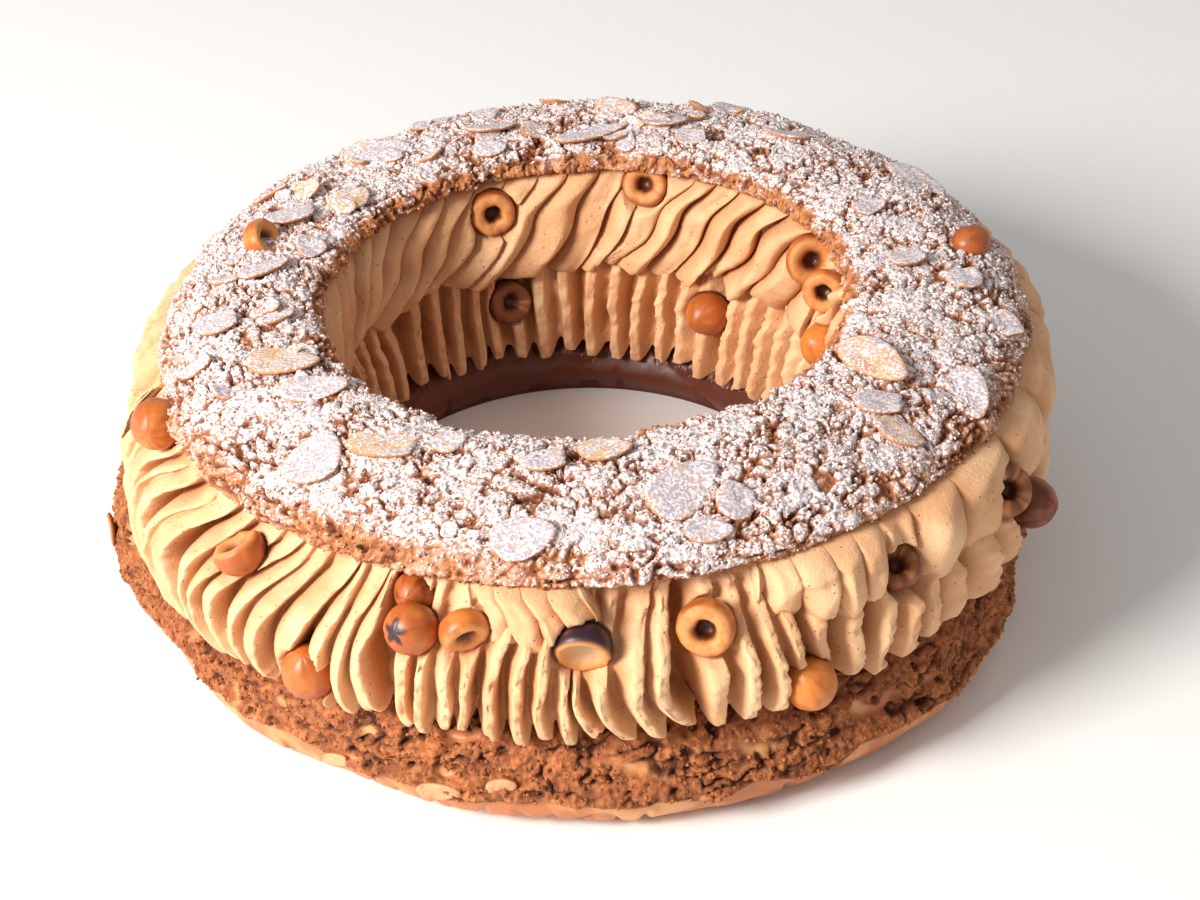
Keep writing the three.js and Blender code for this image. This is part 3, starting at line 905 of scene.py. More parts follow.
@dataclass
class PipedWall:
    """One side of the piped cream, outside or in the hole, ribbed by the nozzle's teeth.

    side is 1 outside and -1 in the hole. usual_pitch is the fins' usual pitch in degrees, bump and
    unevenness the size and the heights of the hand's unevenness, tear how far the lips are torn,
    tip_curve and tip_sag how far the valleys' ends rise and the tips' ends differ, and shaded_depth how
    deep a valley is where its painted shade is darkest.
    """

    name: str
    side: int
    strokes: list[Stroke]
    section: Section
    setting: Setting
    dents: list[Dent]
    arcs: int = 1
    usual_pitch: float = 6.0
    bump: float = 9.0
    unevenness: tuple[float, float, float] = (1.2, 0.4, 0.12)
    tear: tuple[float, float] = (0.9, 0.5)
    tip_curve: float = 3.2
    tip_sag: float = 1.6
    shaded_depth: float = 7.0

    def __post_init__(self) -> None:
        """Works out one value per fin and one per row."""
        dice = Dice(SEED + 60 + self.side)
        kept = ("curl", "upper", "drop", "saw", "depth", "pleats")
        fins = []
        for stroke in self.strokes:
            for index in range(stroke.fins):
                share = index / (stroke.fins - 1)
                fins.append({
                    "tip": blend(*stroke.tips, share) + dice.vary(0.5),
                    "lean": blend(*stroke.lean, share) + dice.vary(0.6),
                    "reach": stroke.reach + 1 - abs(2 * share - 1) + dice.vary(0.7),
                    "gap": stroke.gap if share == 1 else 1 + dice.vary(0.25),
                    "bulk": dice.vary(1),
                    "hang": dice.vary(1),
                    **{key: getattr(stroke, key) for key in kept},
                })
        self.fin = {key: np.array([fin[key] for fin in fins], float) for key in fins[0]}
        self.count = len(fins)
        self.columns = self.count * FIN_COLUMNS
        self.rows, _ = self.section.sampled()

    def shared(self, key: str, index: Array, share: Array) -> Array:
        """The fins' value of a name, blended a share of the way into the next fins'."""
        return blend(self.fin[key][index], self.fin[key][(index + 1) % self.count], share)

    def crest(self, index: Array, row: Array) -> tuple[Array, Array]:
        """Where fins' crests lie.

        Args:
            index: numbers of fins, which may run past the last one.
            row: rows of the section.

        Returns:
            The crests' ring angles and how far they stand out.
        """
        fin = index % self.count
        tier, lean = self.rows[row, 2], self.rows[row, 3]
        angle = self.fin["tip"][fin] + 360 * (index // self.count)
        angle = angle + self.fin["lean"][fin] * lean + self.fin["curl"][fin] * 4 * lean * (1 - lean)
        sway = noise_over(SEED, fin * 7.3, row / 18, self.side)
        return angle + 0.8 * sway, (1 - tier) * self.fin["reach"][fin] + tier * self.fin["upper"][fin]

    def profile(self, index: Array, part: Array) -> tuple[Array, Array]:
        """The fins' profile at columns.

        Args:
            index: numbers of the fins before the columns.
            part: columns past those fins' crests.

        Returns:
            Shares of the pitch and of the depth.
        """
        near = np.where(part > FIN_COLUMNS // 2, index + 1, index) % self.count
        tiled = ramp(self.fin["saw"][near], 0.4, 0.7)[:, None]
        shape = blend(np.array(BLADE_FIN)[part], np.array(TILED_FIN)[part], tiled)
        wider = 0.07 * self.fin["bulk"][near] * np.sin(math.pi * shape[:, 0]) ** 2
        return shape[:, 0] + wider, shape[:, 1]

    def place(self, column: Array, row: Array) -> tuple[Array, dict[str, Array]]:
        """Places the points of the wall.

        Args:
            column: columns round the ring, FIN_COLUMNS to a fin.
            row: rows of the section.

        Returns:
            The points and the mark fold, 0 on a crest to 1 in a valley, for painted shade in the valleys.
        """
        index, part = column // FIN_COLUMNS, column % FIN_COLUMNS
        radius, height, _, _, depth, hang = self.rows[row].T
        depth, hang = np.maximum(depth, 0), np.clip(hang, 0, 1)
        across, low = self.profile(index, part)
        here, here_reach = self.crest(index, row)
        following, next_reach = self.crest(index + 1, row)
        reach = blend(here_reach, next_reach, ramp(across, 0.1, 0.9))
        active = np.clip(depth / FULL_DEPTH, 0, 1)
        wide = np.clip((following - here) / self.usual_pitch, 0.7, 1.2)
        depth = depth * self.shared("depth", index, across) * self.fin["gap"][index] * wide
        arc = np.radians(blend(here, following, across)) * radius
        spot = np.stack([arc / self.bump, height / self.bump, np.full_like(arc, self.side)], -1)
        # Lips torn a little by the nozzle, ridges that run along a fin, and the hand's unevenness.
        lip = np.exp(-((low / 0.2) ** 2)) * active
        jag = noise_over(SEED + 7, index * 3.1 + across, height / 2.6, 0)
        torn = jag * self.tear[0] + smooth_noise(spot * 7, SEED + 8) * self.tear[1]
        ridge = noise_over(SEED + 9, index * 5.3 + across * 4.5, height / 40, 0)
        pleats = self.shared("pleats", index, across) * ridge * active * (1 - lip)
        coarse, middling, fine = self.unevenness
        uneven = smooth_noise(spot, SEED + 10) * coarse + smooth_noise(spot * 2.3, SEED + 11) * middling
        grain = smooth_noise(spot * 14, SEED + 14) * fine
        out = reach - depth * low + (uneven + pleats + grain) * active + torn * lip
        sag = self.tip_sag * self.shared("hang", index, ramp(across, 0.3, 0.7))
        lift = hang * (self.tip_curve * low**2.2 - self.fin["drop"][index] - sag + 0.8 * torn)
        turn = np.degrees((torn * lip * 0.6 + 0.25 * uneven * active) / radius)
        angle = blend(here, following, across) + turn
        points = self.setting.placed(angle, radius + self.side * out * np.clip(depth, 0, 1), height + lift)
        # The mark fold paints shade into the valleys, deeper ones darker.
        return dented(points, self.dents), {"fold": np.clip(low * depth / self.shaded_depth, 0, 1)}

    def build(self, workshop: Workshop, material: bpy.types.Material) -> None:
        """Makes the wall as one closed ring, or as closed arcs."""
        ends = [FIN_COLUMNS * (self.count * arc // self.arcs) for arc in range(self.arcs + 1)]
        names = [f"{self.name}_{arc}" for arc in range(self.arcs)] if self.arcs > 1 else [self.name]
        stops = dict(zip(names, zip(ends, ends[1:])))
        workshop.wrapped(self, stops, material, "praline_cream", "praline_cream")


@dataclass(frozen=True)
class Fold:
    """A rounded fold of the upper tier.

    degrees is the ring angle of its middle, slant how far its foot lies past its head, reach how far it
    stands out, and drop how far its foot hangs.
    """

    degrees: float
    slant: float = 0.0
    reach: float = 0.0
    drop: float = 0.0


FRONT_FOLDS = [Fold(*values) for values in (
    (254, 3, -4), (257, 4, -2, -1), (260.2, 5, -0.4, 0), (263.4, 6, 0.4, 1.4), (266.6, 6, 0, 2),
    (269.8, 4, -3.5),
)]
RIGHT_FOLDS = [Fold(*values) for values in (
    (288, 0, -5), (291.6, 0, -2, -1), (295.8, 1, 2, 1.4), (300, 0, 2.8, 3.2), (304, 0, 1.8, 1.8),
    (307.6, 0, -2.5), (313.6, -2, 3.4, 4.2), (322.6, -2, 3, 3.2), (335.4, 1, 1.8, 2.6), (346, 2, 1, 1),
)]
# Knots of the folds' half sections: radius, height, share of the slant, depth between the folds and how
# much they hang.
OUTER_FOLD_SECTION = Section(
    (
        (103, 54, 1, 0, 0), (109.4, 51, 1, 0.8, 0.6), (114.6, 49.2, 1, 2.4, 1), (118, 50.6, 0.9, 3.6, 1),
        (118.8, 54.8, 0.55, 4, 0.5), (116.2, 59.2, 0.15, 3, 0.1), (110, 61.6, 0, 0.8, 0),
        (103, 61.4, 0, 0, 0),
    ),
    (2, 4, 7, 8, 9, 8, 3, 1),
)
INNER_FOLD_SECTION = Section(
    (
        (84, 64.4, 0, 0, 0), (74, 66.6, 0, 0.4, 0), (68.2, 66.6, 0, 2, 0), (65, 63.4, 0.1, 4, 0),
        (63, 57.6, 0.35, 5, 0), (61.8, 50.6, 0.65, 5.2, 0.2), (61.8, 44.4, 0.9, 5, 0.8),
        (63.8, 40.4, 1, 4, 1), (67.4, 41, 1, 1, 0.8), (74, 45, 1, 0, 0.1), (84, 50, 1, 0, 0),
    ),
    (1, 2, 6, 9, 11, 10, 7, 5, 2, 1, 1),
)
FOLD_COLUMNS = 18


def even_folds(
    start: float, end: float, count: int, slant: float, reach: float, drop: float, seed: int
) -> list[Fold]:
    """Folds that fill a stretch of the ring and differ from each other.

    Args:
        start: the ring angle where they begin.
        end: the ring angle where they end.
        count: how many there are.
        slant: how far their feet lie past their heads.
        reach: how much their reach varies.
        drop: how much their drop varies.
        seed: another seed gives other folds.

    Returns:
        The folds, in order round the ring.
    """
    dice = Dice(seed)
    pitch = (end - start) / count
    return [
        Fold(
            start + pitch * (index + 0.5) + dice.vary(0.3 * pitch),
            slant * (1 + dice.vary(0.4)),
            dice.vary(reach),
            dice.vary(drop),
        )
        for index in range(count)
    ]


@dataclass
class PipedFolds:
    """The upper tier of the cream: rounded folds that lie side by side and overhang the ribbed wall.

    side is 1 outside and -1 in the hole. tuck is how far each fold lies over the one before, arch how
    round it is, usual its usual width in degrees, bump the size of its unevenness, and shaded_depth how
    deep a valley is where its painted shade is darkest.
    """

    name: str
    side: int
    folds: list[Fold]
    section: Section
    setting: Setting
    dents: list[Dent]
    closed: bool = True
    tuck: float = 0.0
    arch: float = 0.85
    usual: float = 6.5
    bump: float = 9.0
    shaded_depth: float = 4.5

    def __post_init__(self) -> None:
        """Works out one value per fold and one per row."""
        self.count = len(self.folds)
        self.columns = self.count * FOLD_COLUMNS
        self.middle, self.slant, self.reach, self.drop = np.array(
            [(fold.degrees, fold.slant, fold.reach, fold.drop) for fold in self.folds], float
        ).T
        self.rows, _ = self.section.sampled()

    def edge(self, values: Array, index: Array, turn: float = 0.0) -> Array:
        """Values halfway between the folds before and at numbers, which may run past the last one."""
        if not self.closed:
            return (values[np.maximum(index - 1, 0)] + values[np.minimum(index, self.count - 1)]) / 2
        before = values[(index - 1) % self.count] - turn * (index % self.count == 0)
        return (before + values[index % self.count]) / 2 + turn * (index // self.count)

    def spread(self, values: Array, index: Array, share: Array) -> Array:
        """Values that run smoothly from fold to fold, at shares of the way across them."""
        first, last = self.edge(values, index), self.edge(values, index + 1)
        middle = values[index]
        return np.where(
            share < 0.5, blend(first, middle, ramp(share, 0, 0.5)), blend(middle, last, ramp(share, 0.5, 1))
        )

    def place(self, column: Array, row: Array) -> tuple[Array, dict[str, Array]]:
        """Places the points of the folds.

        Args:
            column: columns round the ring, FOLD_COLUMNS to a fold.
            row: rows of the section.

        Returns:
            The points and the mark fold, 0 on a crest to 1 in a valley, for painted shade in the valleys.
        """
        index, part = column // FOLD_COLUMNS, column % FOLD_COLUMNS
        if not self.closed:
            # An open tier starts and ends at the middle of its outermost folds, inside the wall.
            index = np.clip(index, 0, self.count - 1)
        radius, height, share, depth, hang = self.rows[row].T
        share, hang, depth = np.clip(share, 0, 1), np.clip(hang, 0, 1), np.maximum(depth, 0)
        across = (1 - np.cos(math.pi * part / FOLD_COLUMNS)) / 2
        lobe = np.sin(math.pi * part / FOLD_COLUMNS) ** self.arch
        first = self.edge(self.middle, index, 360)
        width = self.edge(self.middle, index + 1, 360) - first
        depth = depth * np.clip(width / self.usual, 0.85, 2.2)
        active = np.clip(depth / FULL_DEPTH, 0, 1)
        # Each fold bends on its way down, sways a little and lies over the one before it.
        bend = share + 0.12 * np.sin(math.tau * share)
        angle = first + width * across + self.spread(self.slant, index, across) * bend
        arc = np.radians(angle) * radius
        spot = np.stack([arc / self.bump, height / self.bump, np.full_like(arc, self.side * 3)], -1)
        sway = noise_over(SEED + 15, index * 3.7 + across, height / 13, 0)
        angle = angle + 1.4 * sway * active
        angle = angle - self.tuck * width * lobe * active
        # Ridges that run along a fold, and the hand's unevenness.
        along = noise_over(SEED + 16, index * 9.1 + across * 3, share * 2.2, 0) * 0.8
        uneven = smooth_noise(spot, SEED + 17) * 0.9 + smooth_noise(spot * 2.3, SEED + 18) * 0.4
        fine = smooth_noise(spot * 7, SEED + 19) * 0.22 + smooth_noise(spot * 14, SEED + 14) * 0.1
        low = depth * (1 - lobe)
        out = self.spread(self.reach, index, across) - low + (along + uneven + fine) * active
        # Its foot hangs lowest at its middle.
        foot = self.spread(self.drop, index, across) + 2.6 * lobe - 1.2
        lift = -hang * (foot + 0.9 * smooth_noise(spot * 4, SEED + 12))
        points = self.setting.placed(angle, radius + self.side * out * np.clip(depth, 0, 1), height + lift)
        # The mark fold paints shade into the valleys, deeper ones darker.
        return dented(points, self.dents), {"fold": np.clip(low / self.shaded_depth, 0, 1)}

    def build(self, workshop: Workshop, material: bpy.types.Material) -> None:
        """Makes the tier as a closed body, all round or over its own stretch."""
        cut = 0 if self.closed else FOLD_COLUMNS // 2
        stops = {self.name: (cut, self.columns - cut)}
        workshop.wrapped(self, stops, material, "praline_cream", "praline_cream")


# ---- Crusts -------------------------------------------------------------------------------


@dataclass(frozen=True)
class Cracks:
    """Cracks that come and go in a crust.

    wander is how far they leave their way, edges the noise's heights at a crack's middle and at its
    edge, patch the size of the places that have cracks and cover where these begin and end.
    """

    seed: int
    wander: float
    wander_seed: int
    edges: tuple[float, float]
    patch: float
    cover: tuple[float, float]

    def depth(self, points: Array, stretched: Array) -> Array:
        """How deep the crust is cracked.

        Args:
            points: places on the crust.
            stretched: the same places in units of one crack's length and width.

        Returns:
            Depths from 0 to 1.
        """
        wander = self.wander * smooth_noise(points / 3, self.wander_seed)[:, None]
        split = np.abs(smooth_noise(stretched + wander, self.seed))
        cracked = ramp(smooth_noise(points / self.patch, self.seed + 1), *self.cover)
        return (1 - ramp(split, *self.edges)) * cracked


@dataclass
class LidCrust:
    """The top half of the choux: a rounded ring of crackled, sugared crumb.

    lumps and clump are the sizes of its lumps and of the clumps that its crumb breaks into, grain and
    speck those of its crumbs, relief the crumbs' height, and swept how bare of sugar its outer rim is.
    """

    setting: Setting
    columns: int = 1540
    section: Section = Section(
        (
            (88, 64.5), (105, 61.9), (109.4, 61.3), (111, 63.2), (107.2, 67.2), (98, 71.1), (85, 73.3),
            (74, 73.5), (67.4, 71.5), (65.8, 68.6), (72, 67.2),
        ),
        (3, 6, 7, 12, 22, 27, 23, 15, 7, 5, 2),
    )
    lumps: float = 22
    clump: float = 4.2
    grain: float = 1.25
    speck: float = 0.8
    relief: float = 0.5
    cracks: Cracks = Cracks(SEED + 24, 0.4, 5, (0.02, 0.12), 15, (-0.2, 0.25))
    swept: tuple[tuple[float, float], ...] = (
        (0, 0.5), (60, 0.2), (120, 0.5), (180, 0.2), (215, 0.7), (235, 1), (262, 0.7), (272, 0.1),
        (300, 0.3), (325, 0.7), (360, 0.5),
    )

    def place(self, column: Array, row: Array) -> tuple[Array, dict[str, Array]]:
        """Places the points of the lid.

        Args:
            column: columns round the ring.
            row: rows of the section.

        Returns:
            The points, the mark sugar, and the mark of painted shade in the cracks, hollows and gaps.
        """
        values, outward = self.section.sampled()
        radius, height = values[row, 0], values[row, 1]
        degrees = column * 360 / self.columns
        flat = ring_points(degrees, radius, height)
        # Crumb covers all but the underside: lumps, clumps with gaps between them, grains and specks.
        covered = ramp(outward[row, 1], -0.95, -0.3)
        lumps = rough_noise(flat / self.lumps, 3, SEED + 20) * 2.4
        warped = flat + 0.9 * smooth_noise(flat / 2.4, SEED + 40)[:, None]
        clump, beside, _ = grain_cells(warped / self.clump, SEED + 21)
        gap = (1 - ramp(beside - clump, 0.03, 0.16)) * ramp(smooth_noise(flat / 7, SEED + 41), -0.2, 0.3)
        dome = crumb_heights(flat, self.grain, SEED + 22, 0.72, least=0.55)
        speck = crumb_heights(flat, self.speck, SEED + 23, 0.7)
        stretched = np.stack([np.radians(degrees) * 90 / 10, radius / 3.6, height / 3.6], -1)
        crack = self.cracks.depth(flat, stretched)
        hollow = ramp(smooth_noise(flat / 2.7, SEED + 26), 0.28, 0.55)
        rise = lumps + 0.8 * (0.5 - clump) + self.relief * dome + 0.28 * speck
        rise = rise - 1.3 * crack - 0.9 * hollow - 0.9 * gap
        points = flat + ring_points(degrees, *outward[row].T) * (rise * covered)[:, None]
        # The outer rim and the rim of the hole are ragged.
        ragged = noise_over(SEED + 27, np.radians(degrees) * 12, 0, 0, octaves=3)
        edges = 2.7 * ramp(radius, 98, 109) - 3.6 * ramp(radius, 75, 67)
        far = np.hypot(points[:, 0], points[:, 1]) + ragged * edges
        points = self.setting.placed(degrees, far, points[:, 2])
        # Sugar lies on high, flat places, in patches, and less on the rims; the low places get painted
        # shade.
        patch = rough_noise(flat / 12, 2, SEED + 28)
        swept = np.interp(degrees % 360, *zip(*self.swept))
        inner = ramp(radius, 71, 67.5) * ramp(height, 72.8, 71.2)
        inner = inner * (1 + 1.6 * smooth_noise(flat / 5, SEED + 42))
        rim = 0.75 * ramp(radius, 103, 110) * swept + 0.8 * inner
        sugar = 0.5 + 0.3 * dome + 0.12 * speck + 0.34 * patch
        sugar = sugar - 0.9 * gap - 0.7 * crack - 0.6 * hollow - 0.75 * rim
        sugar = sugar * ramp(outward[row, 1], -0.75, -0.15)
        # Painted shade: the cracks, hollows, gaps and the places between the crumbs are darkened.
        pit_shade_and_tone = 0.85 * crack + 0.7 * hollow + 0.6 * gap + (1 - dome) * 0.35 + (1 - speck) * 0.2 - 0.2
        return points, {"sugar": np.clip(sugar, 0, 1), "pit_shade_and_tone": np.clip(pit_shade_and_tone, 0, 1)}

    def build(self, workshop: Workshop, material: bpy.types.Material) -> None:
        """Makes the lid as two closed arcs, so that each stays light enough."""
        half = self.columns // 2
        arcs = {"lid_crust_back": (0, half), "lid_crust_front": (half, self.columns)}
        workshop.wrapped(self, arcs, material, "choux_lid", "lid_crust")


@dataclass
class BaseCrust:
    """The bottom half of the choux: a smooth lobed foot under a torn, pitted crumb.

    foot is how high the smooth foot reaches, grain and speck are the sizes of the crumbs.
    """

    setting: Setting
    columns: int = 1840
    section: Section = Section(
        (
            (61.6, 0), (88, 0), (112.6, 0), (118.4, 3.8), (120.2, 11), (118.6, 16), (118.8, 20.4),
            (116.4, 24.6), (110.6, 27.2), (100, 23.6), (66.8, 13.6), (62.4, 9.8), (60, 4.4),
        ),
        (1, 2, 12, 17, 12, 11, 11, 12, 4, 3, 6, 8, 7),
    )
    foot: float = 9.5
    grain: float = 1.5
    speck: float = 0.85
    cracks: Cracks = Cracks(SEED + 34, 0.35, 6, (0.01, 0.1), 12, (-0.3, 0.2))

    def place(self, column: Array, row: Array) -> tuple[Array, dict[str, Array]]:
        """Places the points of the base.

        Args:
            column: columns round the ring.
            row: rows of the section.

        Returns:
            The points, the mark crumb, the mark of painted shade in the low places, and the mark inside,
            which darkens the inner side partly as painted shade.
        """
        values, outward = self.section.sampled()
        radius, height = values[row, 0], np.maximum(values[row, 1], 0)
        degrees = column * 360 / self.columns
        flat = ring_points(degrees, radius, height)
        # Over the smooth foot the crust has torn open, apart from windows of smooth skin.
        shown = (ramp(radius, 98, 110) + 0.7 * ramp(radius, 70, 64)) * (height > 0.2)
        edge = height - self.foot - 7.5 * rough_noise(flat / (22, 22, 60), 3, SEED + 30)
        window = ramp(rough_noise(flat / (13, 13, 7), 2, SEED + 31), 0.22, 0.38)
        torn = ramp(edge, -1.2, 1.2) * (1 - window)
        dome = crumb_heights(flat, self.grain, SEED + 32, 0.75, least=0.5)
        speck = crumb_heights(flat, self.speck, SEED + 39, 0.75)
        rough = rough_noise(flat / (5.5, 5.5, 3.6), 4, SEED + 33)
        crack = self.cracks.depth(flat, flat / (10, 10, 3.2))
        hollow = ramp(smooth_noise(flat / (3.4, 3.4, 2.4), SEED + 36), 0.25, 0.5)
        smooth = rough_noise(flat / (17, 17, 9), 2, SEED + 37) * 1.3
        crumbly = 0.4 + 1.9 * rough + 0.55 * dome + 0.25 * speck - 1.8 * crack - 1.8 * hollow
        rise = smooth + torn * crumbly - 0.6 * (1 - torn) + 0.25 * rough * (1 - torn)
        # The foot is lobed where the dough has touched the sheet.
        lobes = -1.1 * (1 - ramp(np.abs(smooth_noise(flat / (12, 12, 40), SEED + 38)), 0, 0.12))
        rise = (rise + lobes * (1 - torn) * ramp(height, 9, 3)) * shown
        points = flat + ring_points(degrees, *outward[row].T) * rise[:, None]
        far = np.hypot(points[:, 0], points[:, 1])
        points = self.setting.placed(degrees, far, np.maximum(points[:, 2], 0))
        # Painted shade: the cracks, hollows and the places between the crumbs are darkened.
        pit_shade_and_tone = np.clip(0.9 * crack + 1.0 * hollow - 1.1 * rough + 0.45 * (1 - dome), 0, 1)
        outside = radius > 90
        # The mark inside darkens the inner side: partly the skin's own tone, partly painted shade.
        return points, {"crumb": torn * shown * outside, "pit_shade_and_tone": pit_shade_and_tone, "inside": ramp(radius, 80, 66)}

    def build(self, workshop: Workshop, material: bpy.types.Material) -> None:
        """Makes the base as two closed arcs, so that each stays light enough."""
        half = self.columns // 2
        arcs = {"base_crust_back": (0, half), "base_crust_front": (half, self.columns)}
        workshop.wrapped(self, arcs, material, "choux_base", "base_crust")


def lump() -> tuple[Array, Array]:
    """A round lump with 20 faces.

    Returns:
        Its points, at a distance of 1 from its middle, and the numbers of its faces' points.
    """
    ball = bmesh.new()
    bmesh.ops.create_icosphere(ball, subdivisions=1, radius=1)
    unit = np.array([vert.co[:] for vert in ball.verts])
    faces = np.array([[vert.index for vert in face.verts] for face in ball.faces])
    ball.free()
    return unit, faces


@dataclass
class LooseCrumbs:
    """Crumbs that stand out of a crust: small broken lumps, each with a few faces.

    They lie where kept_mark is on and where the crust looks up by at least lowest. widths are the
    narrowest and the widest one's, and sunk is how far they sit in the crust.
    """

    name: str
    slot: str
    node: str
    count: int
    kept_mark: str = ""
    widths: tuple[float, float] = (0.9, 2.1)
    lowest: float = -0.2
    sunk: float = 0.0

    @staticmethod
    def marked(name: str, under: Array, height: Array, tone: Array) -> Array:
        """A mark on the crumbs: that of the crust under them, varied from crumb to crumb.

        Args:
            name: the mark's name.
            under: the crust's mark, a value for each crumb.
            height: how high each point of a crumb lies over its middle.
            tone: a random number for each crumb.

        Returns:
            The mark of each point of each crumb.
        """
        under = np.repeat(under[:, None], height.shape[1], axis=1)
        if name == "sugar":
            top = ramp(height, -0.2, 0.5) * (under > 0.05)
            return np.clip(0.7 * under + 0.5 * top - 0.25 * tone, 0, 1)
        # Painted shade on each crumb's lower side, and a darker tone at random on some crumbs.
        if name == "pit_shade_and_tone":
            return np.clip(0.7 * tone**2 + 0.5 * ramp(height, 0, -0.8), 0, 1)
        return under

    def build(self, workshop: Workshop, crust: LidCrust | BaseCrust, material: bpy.types.Material) -> None:
        """Strews the crumbs over a crust as one piece.

        Args:
            workshop: what makes the piece.
            crust: the crust that they lie on.
            material: the crust's material.
        """
        draw = np.random.default_rng(SEED + self.count)
        values, outward = crust.section.sampled()
        spacing = np.hypot(*(np.roll(values, -1, axis=0) - values)[:, :2].T)
        open_rows = (outward[:, 1] > self.lowest) & (values[:, 1] > 3)
        weights = values[:, 0] * spacing * open_rows
        row = draw.choice(len(values), size=4 * self.count, p=weights / weights.sum())
        column = draw.integers(0, crust.columns, size=4 * self.count)
        points, marks = crust.place(column, row)
        wanted = np.flatnonzero(marks[self.kept_mark] > 0.5) if self.kept_mark else np.arange(len(row))
        kept = wanted[: self.count]
        unit, faces = lump()
        width = blend(*self.widths, draw.random(len(kept)) ** 2)
        shape = draw.uniform(0.6, 1, (len(kept), 1, 3)) * draw.uniform(0.65, 1.3, (len(kept), len(unit), 1))
        turn = np.linalg.qr(draw.normal(size=(len(kept), 3, 3)))[0]
        turned = np.einsum("nij,nvj->nvi", turn, unit * shape)
        way = ring_points(column[kept] * 360 / crust.columns, *outward[row[kept]].T)
        middle = points[kept] + way * (0.12 - self.sunk)
        corners = (middle[:, None] + turned * width[:, None, None] / 2) * MM
        first = np.arange(len(kept))[:, None, None] * len(unit)
        mesh = bpy.data.meshes.new(self.name)
        mesh.from_pydata(corners.reshape(-1, 3).tolist(), [], (faces + first).reshape(-1, 3).tolist())
        tone = draw.random((len(kept), 1))
        for name, under in marks.items():
            mark = self.marked(name, under[kept], turned[..., 2], tone)
            mesh.attributes.new(name, "FLOAT", "POINT").data.foreach_set("value", mark.ravel())
        workshop.piece(self.name, mesh, material, self.slot, self.node)


# ---- Almond flakes ------------------------------------------------------------------------


@dataclass(frozen=True)
class Flake:
    """A flaked almond: its place on the ring, its size, the way its length points and its tilt."""

    degrees: float
    radius: float
    length: float
    width: float
    heading: float
    tilt: float = 0.0
    height: float = 0.0


LID_FLAKES = tuple(Flake(*values) for values in (
    (172.9, 82.2, 15, 8.5, 33, -14), (187.8, 92.5, 14, 12, 20, -8), (204.4, 80.7, 18, 14, 355, -8),
    (215, 79.5, 17, 9, 8, 8), (197, 100.5, 11, 8, 40, -12), (128, 91.7, 19, 11, 13, 20),
    (143.6, 75, 11, 8, 60, 10), (153.6, 84.7, 16, 12, 20, -10), (163.3, 73.6, 8.5, 7.5, 20, 16),
    (107, 85, 15, 13, 0, -12), (99.5, 80, 9, 7, 80, 20), (88, 75, 22, 9, 24, -10),
    (74.4, 84.7, 14, 12, 0, -10), (67, 77.5, 10, 8, 10, 8), (84, 92, 12, 10, 0, 24),
    (30, 103, 20, 9, 310, 14), (2, 82, 11, 8, 20, -8), (357, 95.5, 11, 9, 60, -8),
    (328.3, 80.5, 22, 12, 305, 8), (319.2, 91, 16, 11, 5, -12), (331, 103.6, 17, 9, 282, 24),
    (229.2, 96, 18, 14, 70, -6), (237, 83.5, 22, 13, 352, -8), (245.5, 77, 9, 7, 30, 8),
    (261.6, 103, 15, 12, 10, -6), (263.3, 79.5, 14, 10, 10, -10), (272.8, 76, 13, 10, 10, -8),
    (282.8, 92.7, 21, 13, 48, 12), (289.4, 98.4, 12, 9, 75, 10), (284.4, 104.4, 11, 7, 5, -8),
    (316, 99.4, 12, 9, 340, -10), (348.5, 105.6, 11, 8, 300, 14), (52, 92, 14, 9, 160, 12),
    (115, 100, 12, 8, 20, 10), (147, 101, 13, 8, 220, 12), (66, 104, 13, 8, 20, 16),
))
BROKEN_FLAKES = 34


def broken_flakes() -> tuple[Flake, ...]:
    """Small pieces of flakes, most of them on the left and the far side of the lid."""
    dice = Dice(SEED + 44)
    made = []
    for index in range(BROKEN_FLAKES):
        degrees = 50 + 165 * dice.roll() if index % 4 else 360 * dice.roll()
        length = 4.5 + 6 * dice.roll()
        radius = 72 + 32 * dice.roll()
        made.append(Flake(
            degrees, radius, length, length * (0.5 + 0.35 * dice.roll()), 360 * dice.roll(), dice.vary(26)
        ))
    return tuple(made)


BASE_FLAKES = tuple(Flake(degrees, radius, length, width, heading, height=height) for (
    degrees, radius, height, length, width, heading
) in (
    (188.5, 120.9, 13, 11, 4.5, 90), (241.5, 120.3, 10, 9, 4, 15), (254, 120.4, 10.5, 11, 5, 10),
    (261, 119.6, 14, 8, 5, 25),
))
LID_TOP = ((110.8, 63.6), (106.8, 67.4), (98, 71.2), (85, 73.4), (74, 73.6), (67, 71.4))


